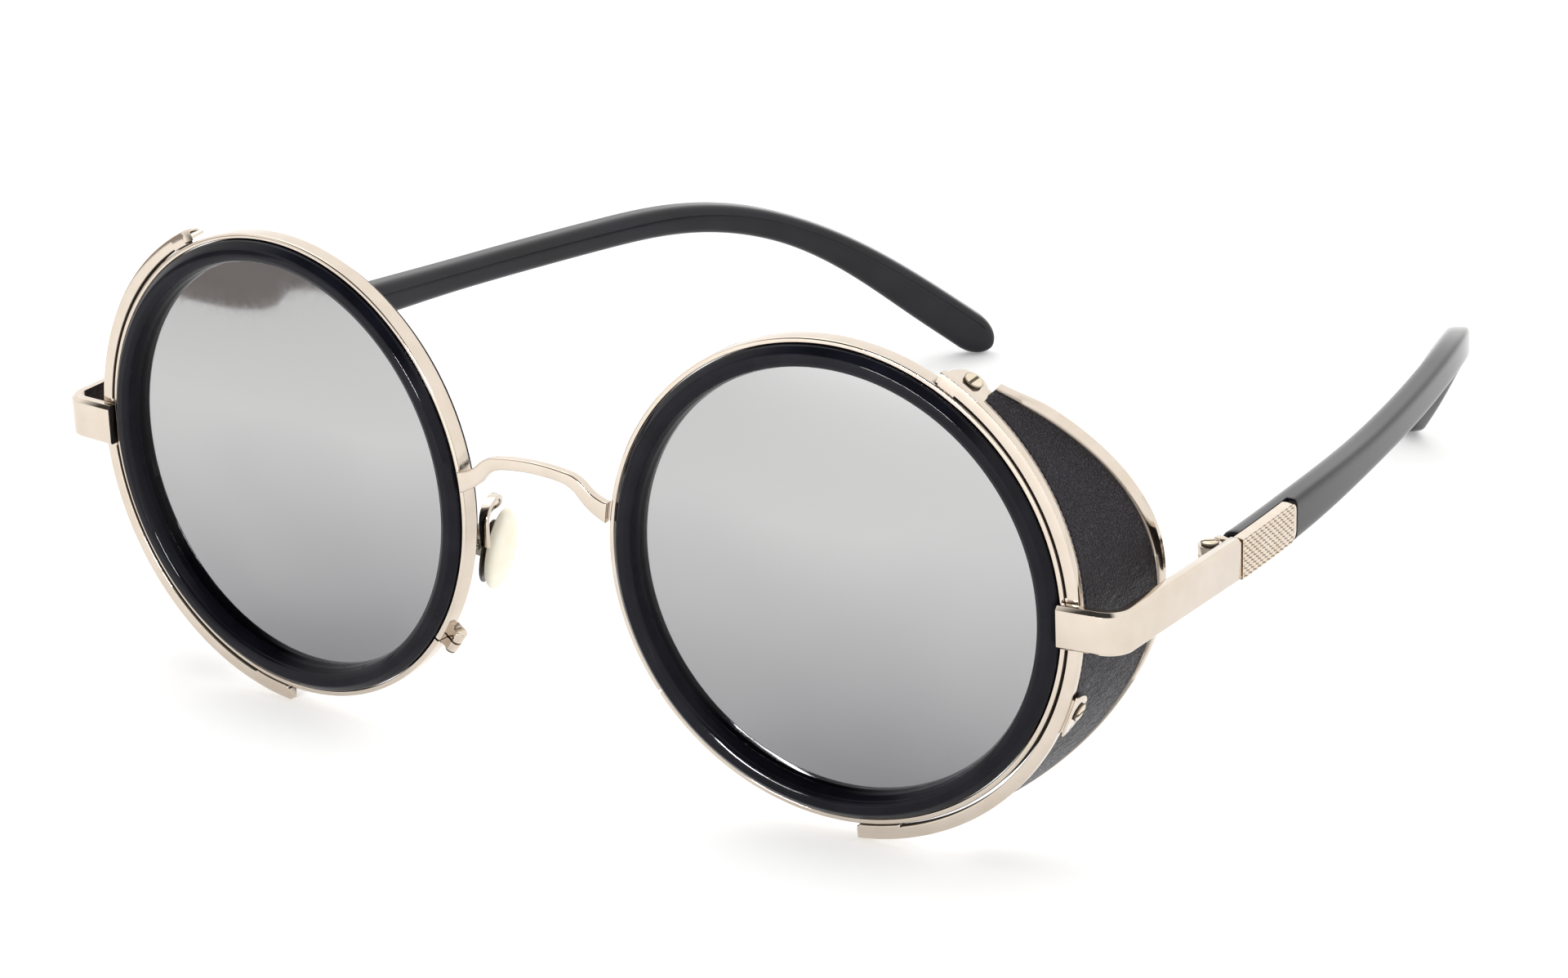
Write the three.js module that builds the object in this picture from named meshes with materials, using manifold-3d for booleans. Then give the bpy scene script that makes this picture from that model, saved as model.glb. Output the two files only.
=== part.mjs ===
// Round steampunk glacier glasses: metal rims, black inner rings, mirrored lenses,
// leather-covered side shields, black temples and adjustable nose pads.
// Millimetres, +Z up. The lenses face -Y and the wearer's left side is +X.
import * as THREE from 'three';
import { mergeVertices } from 'three/addons/utils/BufferGeometryUtils.js';
import Module from 'manifold-3d';

const wasm = await Module();
wasm.setup();

const DEGREE = Math.PI / 180;

// Whole frame
const LENS_SPACING = 75;            // between the two lens centres
const LENS_HEIGHT = 29.33;          // middle of the lens centres above the table
const FRONT_Y = -70.1;              // plane midway between the lens centres
const FACE_WRAP = 5 * DEGREE;       // each eye is swept back this much at the temple side
const RING_SEGMENTS = 40;
const CLEARANCE = 0.1;              // between small parts that fit together

// Rims, inner rings and lenses, radii about each lens centre, y behind the ring's front edge
const RING_OUTER = 27;
const RING_OPENING = 24.3;
const RIM_INNER = RING_OUTER + CLEARANCE;
const RIM_OUTER = 27.7;
const RIM_DEPTH = 2;
const RIM_EDGE = 0.2;               // chamfer along the rim's edges
const LENS_RADIUS = 25;
const LENS_EDGE_Y = 1;
const LENS_THICKNESS = 1.8;
const LENS_SPHERE = 240;            // radius of curvature of both lens faces

// Closing joint behind the rim, at its lower nose side
const CLOSING_ANGLE = 216.2 * DEGREE;
const CLOSING_RADIUS = 28.45;
const CLOSING_Y = 2.4;
const CLOSING_BARREL = 0.75;
const CLOSING_HALF_LENGTH = 1.5;
const CLOSING_SHANK = 0.35;

// Side shields: a cone about the lens axis, from behind the shield bar back to a bowed rear edge
const BAR_INNER = 28;
const BAR_OUTER = 29.4;
const BAR_DEPTH = 1.1;
const BAR_TOP = 62 * DEGREE;
const BAR_BOTTOM = -86 * DEGREE;
const SLOT_TOP = 57 * DEGREE;
const SLOT_BOTTOM = -75 * DEGREE;
const SLOT_MIDDLE = 6 * DEGREE;     // half of the land behind the endpiece
const SHIELD_FRONT_Y = 1.3;
const SHIELD_RADIUS = 28.9;         // outside of the leather where y is zero
const SHIELD_FLARE = 0.11;          // growth of that radius per millimetre backward
const SHIELD_TOP = 52.3 * DEGREE;
const SHIELD_BOTTOM = -63 * DEGREE;
const SHIELD_COLUMNS = 20;
const TAB_TOP = 60.5 * DEGREE;      // the shell's tab under the upper screw
const TAB_REAR_Y = 4.3;
const LEATHER_THICKNESS = 0.45;
const SHELL_THICKNESS = 0.3;
const LIP_THICKNESS = 0.5;
const LIP_LEAN = 0.8;               // how far the lip leans backward per millimetre of height
const SCREW_UPPER = { angle: 56.4 * DEGREE, y: 2.7, radius: 28.95 };
const SCREW_LOWER = { angle: -21.7 * DEGREE, y: 2.7, radius: 29.5 };
const SCREW_SHANK = 0.45;
const SCREW_HEAD = 1.1;
const LUG_RADIUS = 1.75;
const LUG_THICKNESS = 0.3;

// Endpieces
const STRIP_HEIGHT = 4.8;
const STRIP_THICKNESS = 1.3;
const STRIP_Z = 0;                  // middle of the strip above the lens centres
const STRIP_INNER_X = 27.2;         // where the strip starts on the rim
const STRIP_OUTER_X = 35.05;        // outer face of its side part at the corner
const STRIP_BEND = 3;               // outside radius of the corner
const JOINT_Y = 27.2;               // where the temple butts against the endpiece

// Hinges
const HINGE_X = 69.2;
const HINGE_Y = 25.7;
const KNUCKLE_RADIUS = 1.35;
const HINGE_HALF_HEIGHT = 1.7;
const TONGUE_HALF_HEIGHT = 0.5;
const LEAF_THICKNESS = 0.7;
const LEAF_FRONT_Y = 19.6;
const HINGE_SCREW_RADIUS = 0.55;

// Temples; arc length s runs from the joint to the ear tip
const TEMPLE_X = 70.9;              // where the temple's path starts at the joint
const TEMPLE_LENGTH = 132.5;
const TOE_IN = 4.17 * DEGREE;
const INWARD_CURVE = 14.6 * DEGREE / 100;
const PANTO = 2.25 * DEGREE;        // downward slope of the straight part
const EAR_BEND = 36.4 * DEGREE;
const EAR_TWIST = 21 * DEGREE;
const BEND_START = 66.9;
const BEND_END = 119.2;
const TEMPLE_STEPS = 132;
const OUTER_HALF = 1.5;             // from the path to the temple's outer face
const INNER_HALF_FRONT = 2.1;       // from the path to its inner face, at the joint
const INNER_HALF_REAR = 1.7;        // and from the middle of its length to the tip
const ARM_START = 1.6;
const ARM_ROWS = 24;
const TIP_ROWS = 5;
const TIP_LENGTH = 4;
const ARM_SQUARENESS = 3.2;
const PLATE_LENGTH = 14.2;
const PLATE_THICKNESS = 1.2;
const PLATE_INSIDE = OUTER_HALF - PLATE_THICKNESS;
const PLATE_BEVEL = 0.55;
const CORE_ACROSS = -0.55;          // the wire core's place inside the temple
const CORE_START = 1.8;
const CORE_END = 118;
const CORE_RADIUS = 0.42;

// Nose pads; their own axes are +x away from the nose, y backward and z along the pad
const PAD_CENTRE = new THREE.Vector3(12.4, 7, -7.6);
const PAD_FRONTAL_ANGLE = 13 * DEGREE;
const PAD_SPLAY = 10 * DEGREE;
const PAD_HALF_HEIGHT = 5.1;
const PAD_HALF_WIDTH = 2.9;
const PAD_HALF_THICKNESS = 1.25;
const PAD_PLATE_X = PAD_HALF_THICKNESS + 0.2;
const PAD_PLATE_HALF_HEIGHT = 4;
const PAD_BOX_X = PAD_PLATE_X + 0.45;
const PAD_HINGE_X = PAD_PLATE_X + 1.05;
const PAD_SHANK = 0.3;
const PAD_ARM_HALF_WIDTH = 0.6;
const PAD_ARM_HALF_THICKNESS = 0.25;

// Bridge
const BRIDGE_DEPTH = 1.1;
const BRIDGE_END_X = 10.9;

const polishedGold = new THREE.MeshStandardMaterial({ color: 0xe4d6c0, roughness: 0.18, metalness: 1 });
const glossBlack = new THREE.MeshStandardMaterial({ color: 0x0b0b0f, roughness: 0.12, metalness: 0 });
const mirrorLens = new THREE.MeshStandardMaterial({ color: 0xc4c4c4, roughness: 0.05, metalness: 1 });
const blackLeather = new THREE.MeshStandardMaterial({ color: 0x17161a, roughness: 0.55, metalness: 0 });
const creamSilicone = new THREE.MeshStandardMaterial({ color: 0xf4ecd8, roughness: 0.35, metalness: 0 });
const springSteel = new THREE.MeshStandardMaterial({ color: 0x9a9a98, roughness: 0.3, metalness: 1 });

// ---------------------------------------------------------------- geometry helpers

function withoutExtras(geometry) {
  const bare = geometry.clone();
  bare.deleteAttribute('normal');
  bare.deleteAttribute('uv');
  return mergeVertices(bare, 1e-5);
}

function signedVolume(geometry) {
  const position = geometry.attributes.position;
  const index = geometry.index;
  const a = new THREE.Vector3();
  const b = new THREE.Vector3();
  const c = new THREE.Vector3();
  let volume = 0;
  for (let i = 0; i < index.count; i += 3) {
    a.fromBufferAttribute(position, index.getX(i));
    b.fromBufferAttribute(position, index.getX(i + 1));
    c.fromBufferAttribute(position, index.getX(i + 2));
    volume += a.dot(b.cross(c)) / 6;
  }
  return volume;
}

// Merges the vertices and turns every face outward.
function closed(geometry) {
  const merged = withoutExtras(geometry);
  if (signedVolume(merged) < 0) {
    const index = merged.index;
    for (let i = 0; i < index.count; i += 3) {
      const first = index.getX(i);
      index.setX(i, index.getX(i + 1));
      index.setX(i + 1, first);
    }
  }
  merged.computeVertexNormals();
  return merged;
}

function toSolid(geometry) {
  const bare = closed(geometry);
  const vertProperties = new Float32Array(bare.attributes.position.array);
  const triVerts = new Uint32Array(bare.index.array);
  return new wasm.Manifold(new wasm.Mesh({ numProp: 3, vertProperties, triVerts }));
}

function fromSolid(solid) {
  const mesh = solid.getMesh();
  const geometry = new THREE.BufferGeometry();
  geometry.setAttribute('position', new THREE.BufferAttribute(mesh.vertProperties, 3));
  geometry.setIndex(new THREE.BufferAttribute(mesh.triVerts, 1));
  return closed(geometry);
}

function join(first, ...others) {
  return fromSolid(others.reduce((sum, other) => sum.add(toSolid(other)), toSolid(first)));
}

function cut(first, ...tools) {
  return fromSolid(tools.reduce((rest, tool) => rest.subtract(toSolid(tool)), toSolid(first)));
}

function mirrored(geometry) {
  return closed(geometry.clone().scale(-1, 1, 1));
}

// A box given by its lowest and highest corners.
function block(low, high) {
  const size = high.map((value, axis) => value - low[axis]);
  const middle = high.map((value, axis) => (value + low[axis]) / 2);
  return new THREE.BoxGeometry(...size).translate(...middle);
}

// Moves every vertex of a geometry with a rule that returns its new place.
function reshaped(geometry, rule) {
  const position = geometry.attributes.position;
  const point = new THREE.Vector3();
  for (let i = 0; i < position.count; i += 1) {
    point.fromBufferAttribute(position, i);
    position.setXYZ(i, ...rule(point.x, point.y, point.z));
  }
  return closed(geometry);
}

function turned(profile, segments = RING_SEGMENTS) {
  const points = profile.map(([radius, y]) => new THREE.Vector2(radius, y));
  return closed(new THREE.LatheGeometry(points, segments));
}

function rod(radius, length, segments = 16) {
  return new THREE.CylinderGeometry(radius, radius, length, segments);
}

// A cylinder between two heights, standing on a point of the ground plan.
function post(radius, x, y, low, high, segments = 16) {
  return rod(radius, high - low, segments).rotateX(Math.PI / 2).translate(x, y, (low + high) / 2);
}

// A tube along a smooth curve through the given points.
function wire(points, radius, steps, sides) {
  const section = new THREE.Shape();
  section.absarc(0, 0, radius, 0, 2 * Math.PI, false);
  const path = new THREE.CatmullRomCurve3(points.map((p) => new THREE.Vector3(...p)));
  const options = { steps, extrudePath: path, curveSegments: sides, bevelEnabled: false };
  return closed(new THREE.ExtrudeGeometry(section, options));
}

// A flat ring sector about the lens axis, from y = front to y = back.
function sector(inner, outer, from, to, front, back, segments) {
  const shape = new THREE.Shape();
  shape.absarc(0, 0, outer, from, to, false);
  shape.absarc(0, 0, inner, to, from, true);
  const options = { depth: back - front, curveSegments: segments, bevelEnabled: false };
  return closed(new THREE.ExtrudeGeometry(shape, options).rotateX(Math.PI / 2).translate(0, back, 0));
}

// A slotted screw along Y with the top of its head at y = 0; it points to +Y.
function screw(shankRadius, headRadius, headHeight, length) {
  const profile = [
    [0, 0], [headRadius * 0.8, 0], [headRadius, headHeight * 0.35], [headRadius, headHeight],
    [shankRadius, headHeight], [shankRadius, length], [0, length],
  ];
  const slotHalf = headRadius * 0.14;
  const slot = block([-headRadius * 2, -1, -slotHalf], [headRadius * 2, headHeight * 0.45, slotHalf]);
  return cut(turned(profile, 12), slot);
}

// Turns a part that is built along Y at the origin so that -Y looks outward along a lens radius.
function onRadius(geometry, radius, y, angle) {
  return geometry.rotateZ(Math.PI / 2).translate(radius, y, 0).rotateY(-angle);
}

// ---------------------------------------------------------------- eye parts
// Their axes: +x to the temple side, +y backward along the lens axis, +z up.

// Brings a part built at the origin, whose length runs along z, to the closing joint.
function closingPlace(geometry) {
  return geometry.translate(CLOSING_RADIUS, CLOSING_Y, 0).rotateY(-CLOSING_ANGLE);
}

function rim() {
  const ring = turned([
    [RIM_INNER, RIM_EDGE], [RIM_INNER + RIM_EDGE, 0],
    [RIM_OUTER - RIM_EDGE, 0], [RIM_OUTER, RIM_EDGE],
    [RIM_OUTER, RIM_DEPTH - RIM_EDGE], [RIM_OUTER - RIM_EDGE, RIM_DEPTH],
    [RIM_INNER, RIM_DEPTH], [RIM_INNER, RIM_EDGE],
  ]);
  const barrel = rod(CLOSING_BARREL, 2 * CLOSING_HALF_LENGTH).rotateX(Math.PI / 2);
  const web = block([-1.2, -0.7, -CLOSING_HALF_LENGTH], [0, 0.6, CLOSING_HALF_LENGTH]);
  const bore = rod(CLOSING_SHANK + CLEARANCE, 6).rotateX(Math.PI / 2);
  const split = block([-2, -3, -0.15], [2, 3, 0.15]);
  const closedRim = join(ring, closingPlace(barrel), closingPlace(web));
  const inside = turned([[20, -1], [RIM_INNER, -1], [RIM_INNER, 4], [20, 4], [20, -1]]);
  return cut(closedRim, closingPlace(bore), closingPlace(split), inside);
}

function closingScrew() {
  const headHeight = 0.35;
  const length = 2 * CLOSING_HALF_LENGTH + headHeight;
  const part = screw(CLOSING_SHANK, 0.65, headHeight, length).rotateX(-Math.PI / 2);
  return closingPlace(part.translate(0, 0, CLOSING_HALF_LENGTH + headHeight + 0.05));
}

function innerRing() {
  const pocket = LENS_RADIUS + CLEARANCE;
  return turned([
    [RING_OPENING, 0.9], [RING_OPENING + 0.15, 0.2], [RING_OPENING + 0.45, -0.5],
    [RING_OPENING + 0.9, -0.95], [26, -1], [26.7, -0.65], [RING_OUTER, 0.05],
    [RING_OUTER, 2.6], [RING_OUTER - 0.3, 3], [pocket + 0.3, 3], [pocket, 2.7],
    [pocket, 0.9], [RING_OPENING, 0.9],
  ]);
}

function lens() {
  const bulge = (radius) => (LENS_RADIUS ** 2 - radius ** 2) / (2 * LENS_SPHERE);
  const steps = [0, 0.5, 1].map((part) => part * LENS_RADIUS);
  const front = steps.map((radius) => [radius, LENS_EDGE_Y - bulge(radius)]);
  const back = steps.map((radius) => [radius, LENS_EDGE_Y + LENS_THICKNESS - bulge(radius)]);
  return turned([...front, ...back.reverse()]);
}

// ---------------------------------------------------------------- side shield

function screwPlace(geometry, place) {
  return geometry.translate(place.radius, place.y, 0).rotateY(-place.angle);
}

function screwHole(place) {
  return screwPlace(rod(SCREW_SHANK + CLEARANCE, 5, 10).rotateZ(Math.PI / 2), place);
}

// A leaf behind the bar that carries a screw; a foot joins it to the bar.
function lug(place) {
  const reach = place.y - BAR_DEPTH + 0.3;
  const leaf = block([0, -reach, -LUG_RADIUS], [LUG_THICKNESS, 0, LUG_RADIUS]);
  const nose = rod(LUG_RADIUS, LUG_THICKNESS, 14).rotateZ(Math.PI / 2);
  const foot = block([-0.5, -reach, -LUG_RADIUS], [LUG_THICKNESS, 0.3 - reach, LUG_RADIUS]);
  return screwPlace(join(leaf, nose.translate(LUG_THICKNESS / 2, 0, 0), foot), place);
}

function shieldBar() {
  const root = RIM_OUTER + CLEARANCE;
  const land = (from, to) => sector(root, BAR_INNER + 0.5, from, to, 0, BAR_DEPTH, 5);
  const bar = sector(BAR_INNER, BAR_OUTER, BAR_BOTTOM, BAR_TOP, 0, BAR_DEPTH, 28);
  const lands = [
    land(SLOT_TOP, BAR_TOP - 0.01),
    land(-SLOT_MIDDLE, SLOT_MIDDLE),
    land(BAR_BOTTOM + 0.01, SLOT_BOTTOM),
  ];
  const screws = [SCREW_UPPER, SCREW_LOWER];
  return cut(join(bar, ...lands, ...screws.map(lug)), ...screws.map(screwHole));
}

// y of the shield's rear edge at an angle round the lens.
function shieldRear(angle) {
  const bow = Math.cos((Math.PI / 2) * (Math.abs(angle / DEGREE + 5.4) / 62));
  return 3.4 + 12.9 * Math.max(bow, 0) ** 1.25;
}

// Height of the turned-out rear edge: full beside the brow, fading at both ends.
function lipHeight(angle) {
  const degrees = angle / DEGREE;
  const rise = THREE.MathUtils.smoothstep(52 - degrees, 0, 10);
  const fall = 1 - THREE.MathUtils.smoothstep(14 - degrees, 0, 20);
  return 0.4 + 0.35 * rise * fall;
}

function onShield(angle, y, depth) {
  const radius = SHIELD_RADIUS + SHIELD_FLARE * y - depth;
  return [radius * Math.cos(angle), y, radius * Math.sin(angle)];
}

// A curved sheet on the shield's cone; depth is measured inward from the leather's outside.
function shieldSheet(outerDepth, innerDepth, rearMargin) {
  const sheet = new THREE.BoxGeometry(1, 1, 1, SHIELD_COLUMNS, 1, 1);
  return reshaped(sheet, (u, v, w) => {
    const angle = THREE.MathUtils.lerp(SHIELD_BOTTOM, SHIELD_TOP, u + 0.5);
    const rear = shieldRear(angle) + rearMargin;
    const y = THREE.MathUtils.lerp(SHIELD_FRONT_Y, rear, v + 0.5);
    return onShield(angle, y, THREE.MathUtils.lerp(innerDepth, outerDepth, w + 0.5));
  });
}

// The lip stands on the rear edge of the metal shell and leans backward above the leather.
function shieldLip() {
  const foot = LEATHER_THICKNESS + CLEARANCE + SHELL_THICKNESS;
  const strip = new THREE.BoxGeometry(1, 1, 1, SHIELD_COLUMNS, 1, 2);
  return reshaped(strip, (u, v, w) => {
    const angle = THREE.MathUtils.lerp(SHIELD_BOTTOM, SHIELD_TOP, u + 0.5);
    const depth = w > 0 ? -lipHeight(angle) : Math.abs(w) * 2 * foot;
    const lean = w > 0 ? LIP_LEAN * lipHeight(angle) : 0;
    const y = shieldRear(angle) + CLEARANCE + LIP_THICKNESS * (v + 0.5) + lean;
    return onShield(angle, y, depth);
  });
}

// The upper end of the shell runs on under the upper screw.
function shellTab() {
  const tab = new THREE.BoxGeometry(1, 1, 1, 2, 1, 1);
  return reshaped(tab, (u, v, w) => {
    const angle = THREE.MathUtils.lerp(SHIELD_TOP - 0.02, TAB_TOP, u + 0.5);
    const y = THREE.MathUtils.lerp(SHIELD_FRONT_Y, TAB_REAR_Y, v + 0.5);
    return onShield(angle, y, LEATHER_THICKNESS + CLEARANCE + SHELL_THICKNESS * (w + 0.5));
  });
}

function shieldShell() {
  const outside = LEATHER_THICKNESS + CLEARANCE;
  const inside = outside + SHELL_THICKNESS;
  const sheet = shieldSheet(outside, inside, CLEARANCE + LIP_THICKNESS);
  const holes = [screwHole(SCREW_UPPER), screwHole(SCREW_LOWER)];
  return cut(join(sheet, shieldLip(), shellTab()), ...holes);
}

function shieldLeather() {
  return cut(shieldSheet(0, LEATHER_THICKNESS, 0), screwHole(SCREW_LOWER));
}

function shieldScrew(place) {
  const headHeight = 0.35;
  const headTop = place.radius + LUG_THICKNESS + headHeight + 0.05;
  const part = screw(SCREW_SHANK, SCREW_HEAD, headHeight, 1.9);
  return onRadius(part, headTop, place.y, place.angle);
}

// ---------------------------------------------------------------- endpiece and hinge
// Built in plan around the lens centre; the side part runs straight back.

const STRIP_INNER_BEND = STRIP_BEND - STRIP_THICKNESS;
const CORNER = new THREE.Vector2(STRIP_OUTER_X - STRIP_BEND, STRIP_BEND - STRIP_THICKNESS - CLEARANCE);
const CORNER_FROM_LENS = CORNER.clone().rotateAround(new THREE.Vector2(), FACE_WRAP);
const STRIP_INSIDE_X = LENS_SPACING / 2 + CORNER_FROM_LENS.x + STRIP_INNER_BEND;

function endpiece() {
  const backward = new THREE.Vector2(Math.sin(FACE_WRAP), Math.cos(FACE_WRAP));
  const outward = new THREE.Vector2(Math.cos(FACE_WRAP), -Math.sin(FACE_WRAP));
  const end = CORNER.clone().addScaledVector(backward, JOINT_Y - 0.15 - CORNER_FROM_LENS.y);
  const outerEnd = end.clone().addScaledVector(outward, STRIP_BEND);
  const innerEnd = end.clone().addScaledVector(outward, STRIP_INNER_BEND);
  const outline = new THREE.Shape();
  outline.moveTo(STRIP_INNER_X, CORNER.y - STRIP_BEND);
  outline.absarc(CORNER.x, CORNER.y, STRIP_BEND, -Math.PI / 2, -FACE_WRAP, false);
  outline.lineTo(outerEnd.x, outerEnd.y);
  outline.lineTo(innerEnd.x, innerEnd.y);
  outline.absarc(CORNER.x, CORNER.y, STRIP_INNER_BEND, -FACE_WRAP, -Math.PI / 2, true);
  outline.lineTo(STRIP_INNER_X, CORNER.y - STRIP_INNER_BEND);
  const options = { depth: STRIP_HEIGHT, curveSegments: 8, bevelEnabled: false };
  const strip = new THREE.ExtrudeGeometry(outline, options);
  return closed(strip.translate(0, 0, STRIP_Z - STRIP_HEIGHT / 2));
}

function hingeFront() {
  const low = STRIP_Z - HINGE_HALF_HEIGHT;
  const high = STRIP_Z + HINGE_HALF_HEIGHT;
  const leafX = STRIP_INSIDE_X - 0.15;
  const leaf = block([leafX - LEAF_THICKNESS, LEAF_FRONT_Y, low], [leafX, HINGE_Y + 1, high]);
  const neck = block([HINGE_X, HINGE_Y - KNUCKLE_RADIUS, low], [leafX, HINGE_Y + 0.6, high]);
  const barrel = post(KNUCKLE_RADIUS, HINGE_X, HINGE_Y, low, high, 24);
  const room = TONGUE_HALF_HEIGHT + 0.15;
  const gap = post(KNUCKLE_RADIUS + 0.25, HINGE_X, HINGE_Y, STRIP_Z - room, STRIP_Z + room, 24);
  const bore = post(HINGE_SCREW_RADIUS + CLEARANCE, HINGE_X, HINGE_Y, low - 1, high + 1);
  return cut(join(leaf, neck, barrel), gap, bore);
}

function hingeScrew() {
  const headHeight = 0.4;
  const part = screw(HINGE_SCREW_RADIUS, 1, headHeight, 2 * HINGE_HALF_HEIGHT + 0.6);
  const top = STRIP_Z + HINGE_HALF_HEIGHT + headHeight + 0.05;
  return part.rotateX(-Math.PI / 2).translate(HINGE_X, HINGE_Y, top);
}

function hingeTongue() {
  const low = STRIP_Z - TONGUE_HALF_HEIGHT;
  const high = STRIP_Z + TONGUE_HALF_HEIGHT;
  const inside = HINGE_X - 0.55;
  const outside = HINGE_X + 1.1;
  const rear = JOINT_Y + 1.2;
  const barrel = post(KNUCKLE_RADIUS, HINGE_X, HINGE_Y, low, high, 24);
  const arm = block([inside, HINGE_Y, low], [outside, rear, high]);
  const heelLow = [inside, JOINT_Y + 0.35, STRIP_Z - HINGE_HALF_HEIGHT];
  const heel = block(heelLow, [outside, rear, STRIP_Z + HINGE_HALF_HEIGHT]);
  const bore = post(HINGE_SCREW_RADIUS + CLEARANCE, HINGE_X, HINGE_Y, low - 1, high + 1);
  return cut(join(barrel, arm, heel), bore);
}

// ---------------------------------------------------------------- temple

function templeFrames() {
  const place = new THREE.Vector3(TEMPLE_X, JOINT_Y, STRIP_Z - 0.1);
  const step = TEMPLE_LENGTH / TEMPLE_STEPS;
  const frames = [];
  for (let i = 0; i <= TEMPLE_STEPS; i += 1) {
    const s = i * step;
    const bent = THREE.MathUtils.smoothstep(s, BEND_START, BEND_END);
    const drop = PANTO + EAR_BEND * bent;
    const toe = TOE_IN + INWARD_CURVE * s + EAR_TWIST * bent;
    const level = Math.cos(drop);
    const along = new THREE.Vector3(-Math.sin(toe) * level, Math.cos(toe) * level, -Math.sin(drop));
    const side = new THREE.Vector3(Math.cos(toe), Math.sin(toe), 0);
    const up = new THREE.Vector3().crossVectors(side, along);
    frames.push({ place: place.clone(), side, up });
    place.addScaledVector(along, step);
  }
  return frames;
}

const TEMPLE_FRAMES = templeFrames();

// The point at arc length s, across (outward) and up from the temple's path.
function onTemple(s, across, up) {
  const position = Math.min((s / TEMPLE_LENGTH) * TEMPLE_STEPS, TEMPLE_STEPS - 1e-6);
  const before = TEMPLE_FRAMES[Math.floor(position)];
  const after = TEMPLE_FRAMES[Math.floor(position) + 1];
  const between = (key) => before[key].clone().lerp(after[key], position % 1);
  return between('place').addScaledVector(between('side'), across).addScaledVector(between('up'), up);
}

function templeHalfHeight(s) {
  const narrowing = THREE.MathUtils.smoothstep(s, PLATE_LENGTH, 45);
  const paddle = THREE.MathUtils.smoothstep(s, 95, 124);
  return 2.4 - 0.5 * narrowing + 0.75 * paddle;
}

function innerHalf(s) {
  const thinning = THREE.MathUtils.smoothstep(s, 0, TEMPLE_LENGTH * 0.6);
  return THREE.MathUtils.lerp(INNER_HALF_FRONT, INNER_HALF_REAR, thinning);
}

// Rows are even along the arm and follow part of a quarter circle round the tip.
function armRow(part) {
  const row = part * (ARM_ROWS + TIP_ROWS);
  const turn = (Math.max(row - ARM_ROWS, 0) / TIP_ROWS) * 1.4;
  const along = Math.min(row / ARM_ROWS, 1);
  const straight = THREE.MathUtils.lerp(ARM_START, TEMPLE_LENGTH - TIP_LENGTH, along);
  return { s: straight + TIP_LENGTH * Math.sin(turn), scale: Math.cos(turn) };
}

function templeArm() {
  const round = new THREE.CylinderGeometry(1, 1, 1, 12, ARM_ROWS + TIP_ROWS);
  const body = reshaped(round, (x, y, z) => {
    const { s, scale } = armRow(0.5 - y);
    const power = Math.abs(x) ** ARM_SQUARENESS + Math.abs(z) ** ARM_SQUARENESS;
    const grow = power > 0 ? power ** (-1 / ARM_SQUARENESS) : 0;
    const half = x > 0 ? OUTER_HALF : innerHalf(s);
    const across = x * grow * half * (0.4 + 0.6 * scale);
    return onTemple(s, across, z * grow * templeHalfHeight(s) * scale).toArray();
  });
  return cut(body, plateRoom(), corePocket());
}

// A bar along the front of the temple with a section drawn across (x) and up (y).
function frontBar(corners, length) {
  const section = new THREE.Shape(corners.map(([x, y]) => new THREE.Vector2(x, y)));
  const bar = new THREE.ExtrudeGeometry(section, { depth: 1, steps: 4, bevelEnabled: false });
  return reshaped(bar, (x, y, z) => onTemple(z * length, x, y).toArray());
}

function plateRoom() {
  const inside = PLATE_INSIDE - 0.15;
  return frontBar([[inside, -4], [4, -4], [4, 4], [inside, 4]], PLATE_LENGTH + 0.15);
}

function knurledPlate() {
  const half = STRIP_HEIGHT / 2;
  return frontBar([
    [PLATE_INSIDE, -half], [OUTER_HALF - PLATE_BEVEL, -half], [OUTER_HALF, PLATE_BEVEL - half],
    [OUTER_HALF, half - PLATE_BEVEL], [OUTER_HALF - PLATE_BEVEL, half], [PLATE_INSIDE, half],
  ], PLATE_LENGTH);
}

function corePath(from, to) {
  const count = 10;
  const points = [];
  for (let i = 0; i <= count; i += 1) {
    const s = THREE.MathUtils.lerp(from, to, i / count);
    points.push(onTemple(s, CORE_ACROSS, 0).toArray());
  }
  return points;
}

function corePocket() {
  return wire(corePath(CORE_START - 1.2, CORE_END + 0.4), CORE_RADIUS + 0.2, 16, 6);
}

function coreWire() {
  return wire(corePath(CORE_START, CORE_END), CORE_RADIUS, 16, 6);
}

// ---------------------------------------------------------------- nose pad parts

function nosePad() {
  const egg = new THREE.SphereGeometry(1, 14, 8);
  return reshaped(egg, (x, y, z) => {
    const taper = 1 - 0.14 * y;
    const flat = Math.sign(z) * Math.abs(z) ** 0.75;
    return [flat * PAD_HALF_THICKNESS, x * PAD_HALF_WIDTH * taper, y * PAD_HALF_HEIGHT];
  });
}

function padBore() {
  return rod(PAD_SHANK + CLEARANCE, 4, 12).translate(PAD_HINGE_X, 0, 0);
}

function padBackplate() {
  const oval = rod(1, 0.3, 20).rotateZ(Math.PI / 2).scale(1, 2, PAD_PLATE_HALF_HEIGHT);
  const tab = block([PAD_PLATE_X, -0.32, -0.9], [PAD_PLATE_X + 1.55, 0.32, 0.9]);
  oval.translate(PAD_PLATE_X, 0, PAD_PLATE_HALF_HEIGHT - PAD_HALF_HEIGHT + 0.2);
  return cut(join(oval, tab), padBore());
}

function padBox() {
  const body = block([PAD_BOX_X, -1.1, -1.3], [PAD_BOX_X + 2, 1.1, 1.3]);
  const slot = block([PAD_BOX_X - 1, -0.5, -3], [PAD_BOX_X + 1.5, 0.5, 3]);
  return cut(body, slot, padBore());
}

function padScrew() {
  return screw(PAD_SHANK, 0.6, 0.25, 2.6).translate(PAD_HINGE_X, -1.4, 0);
}

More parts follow.
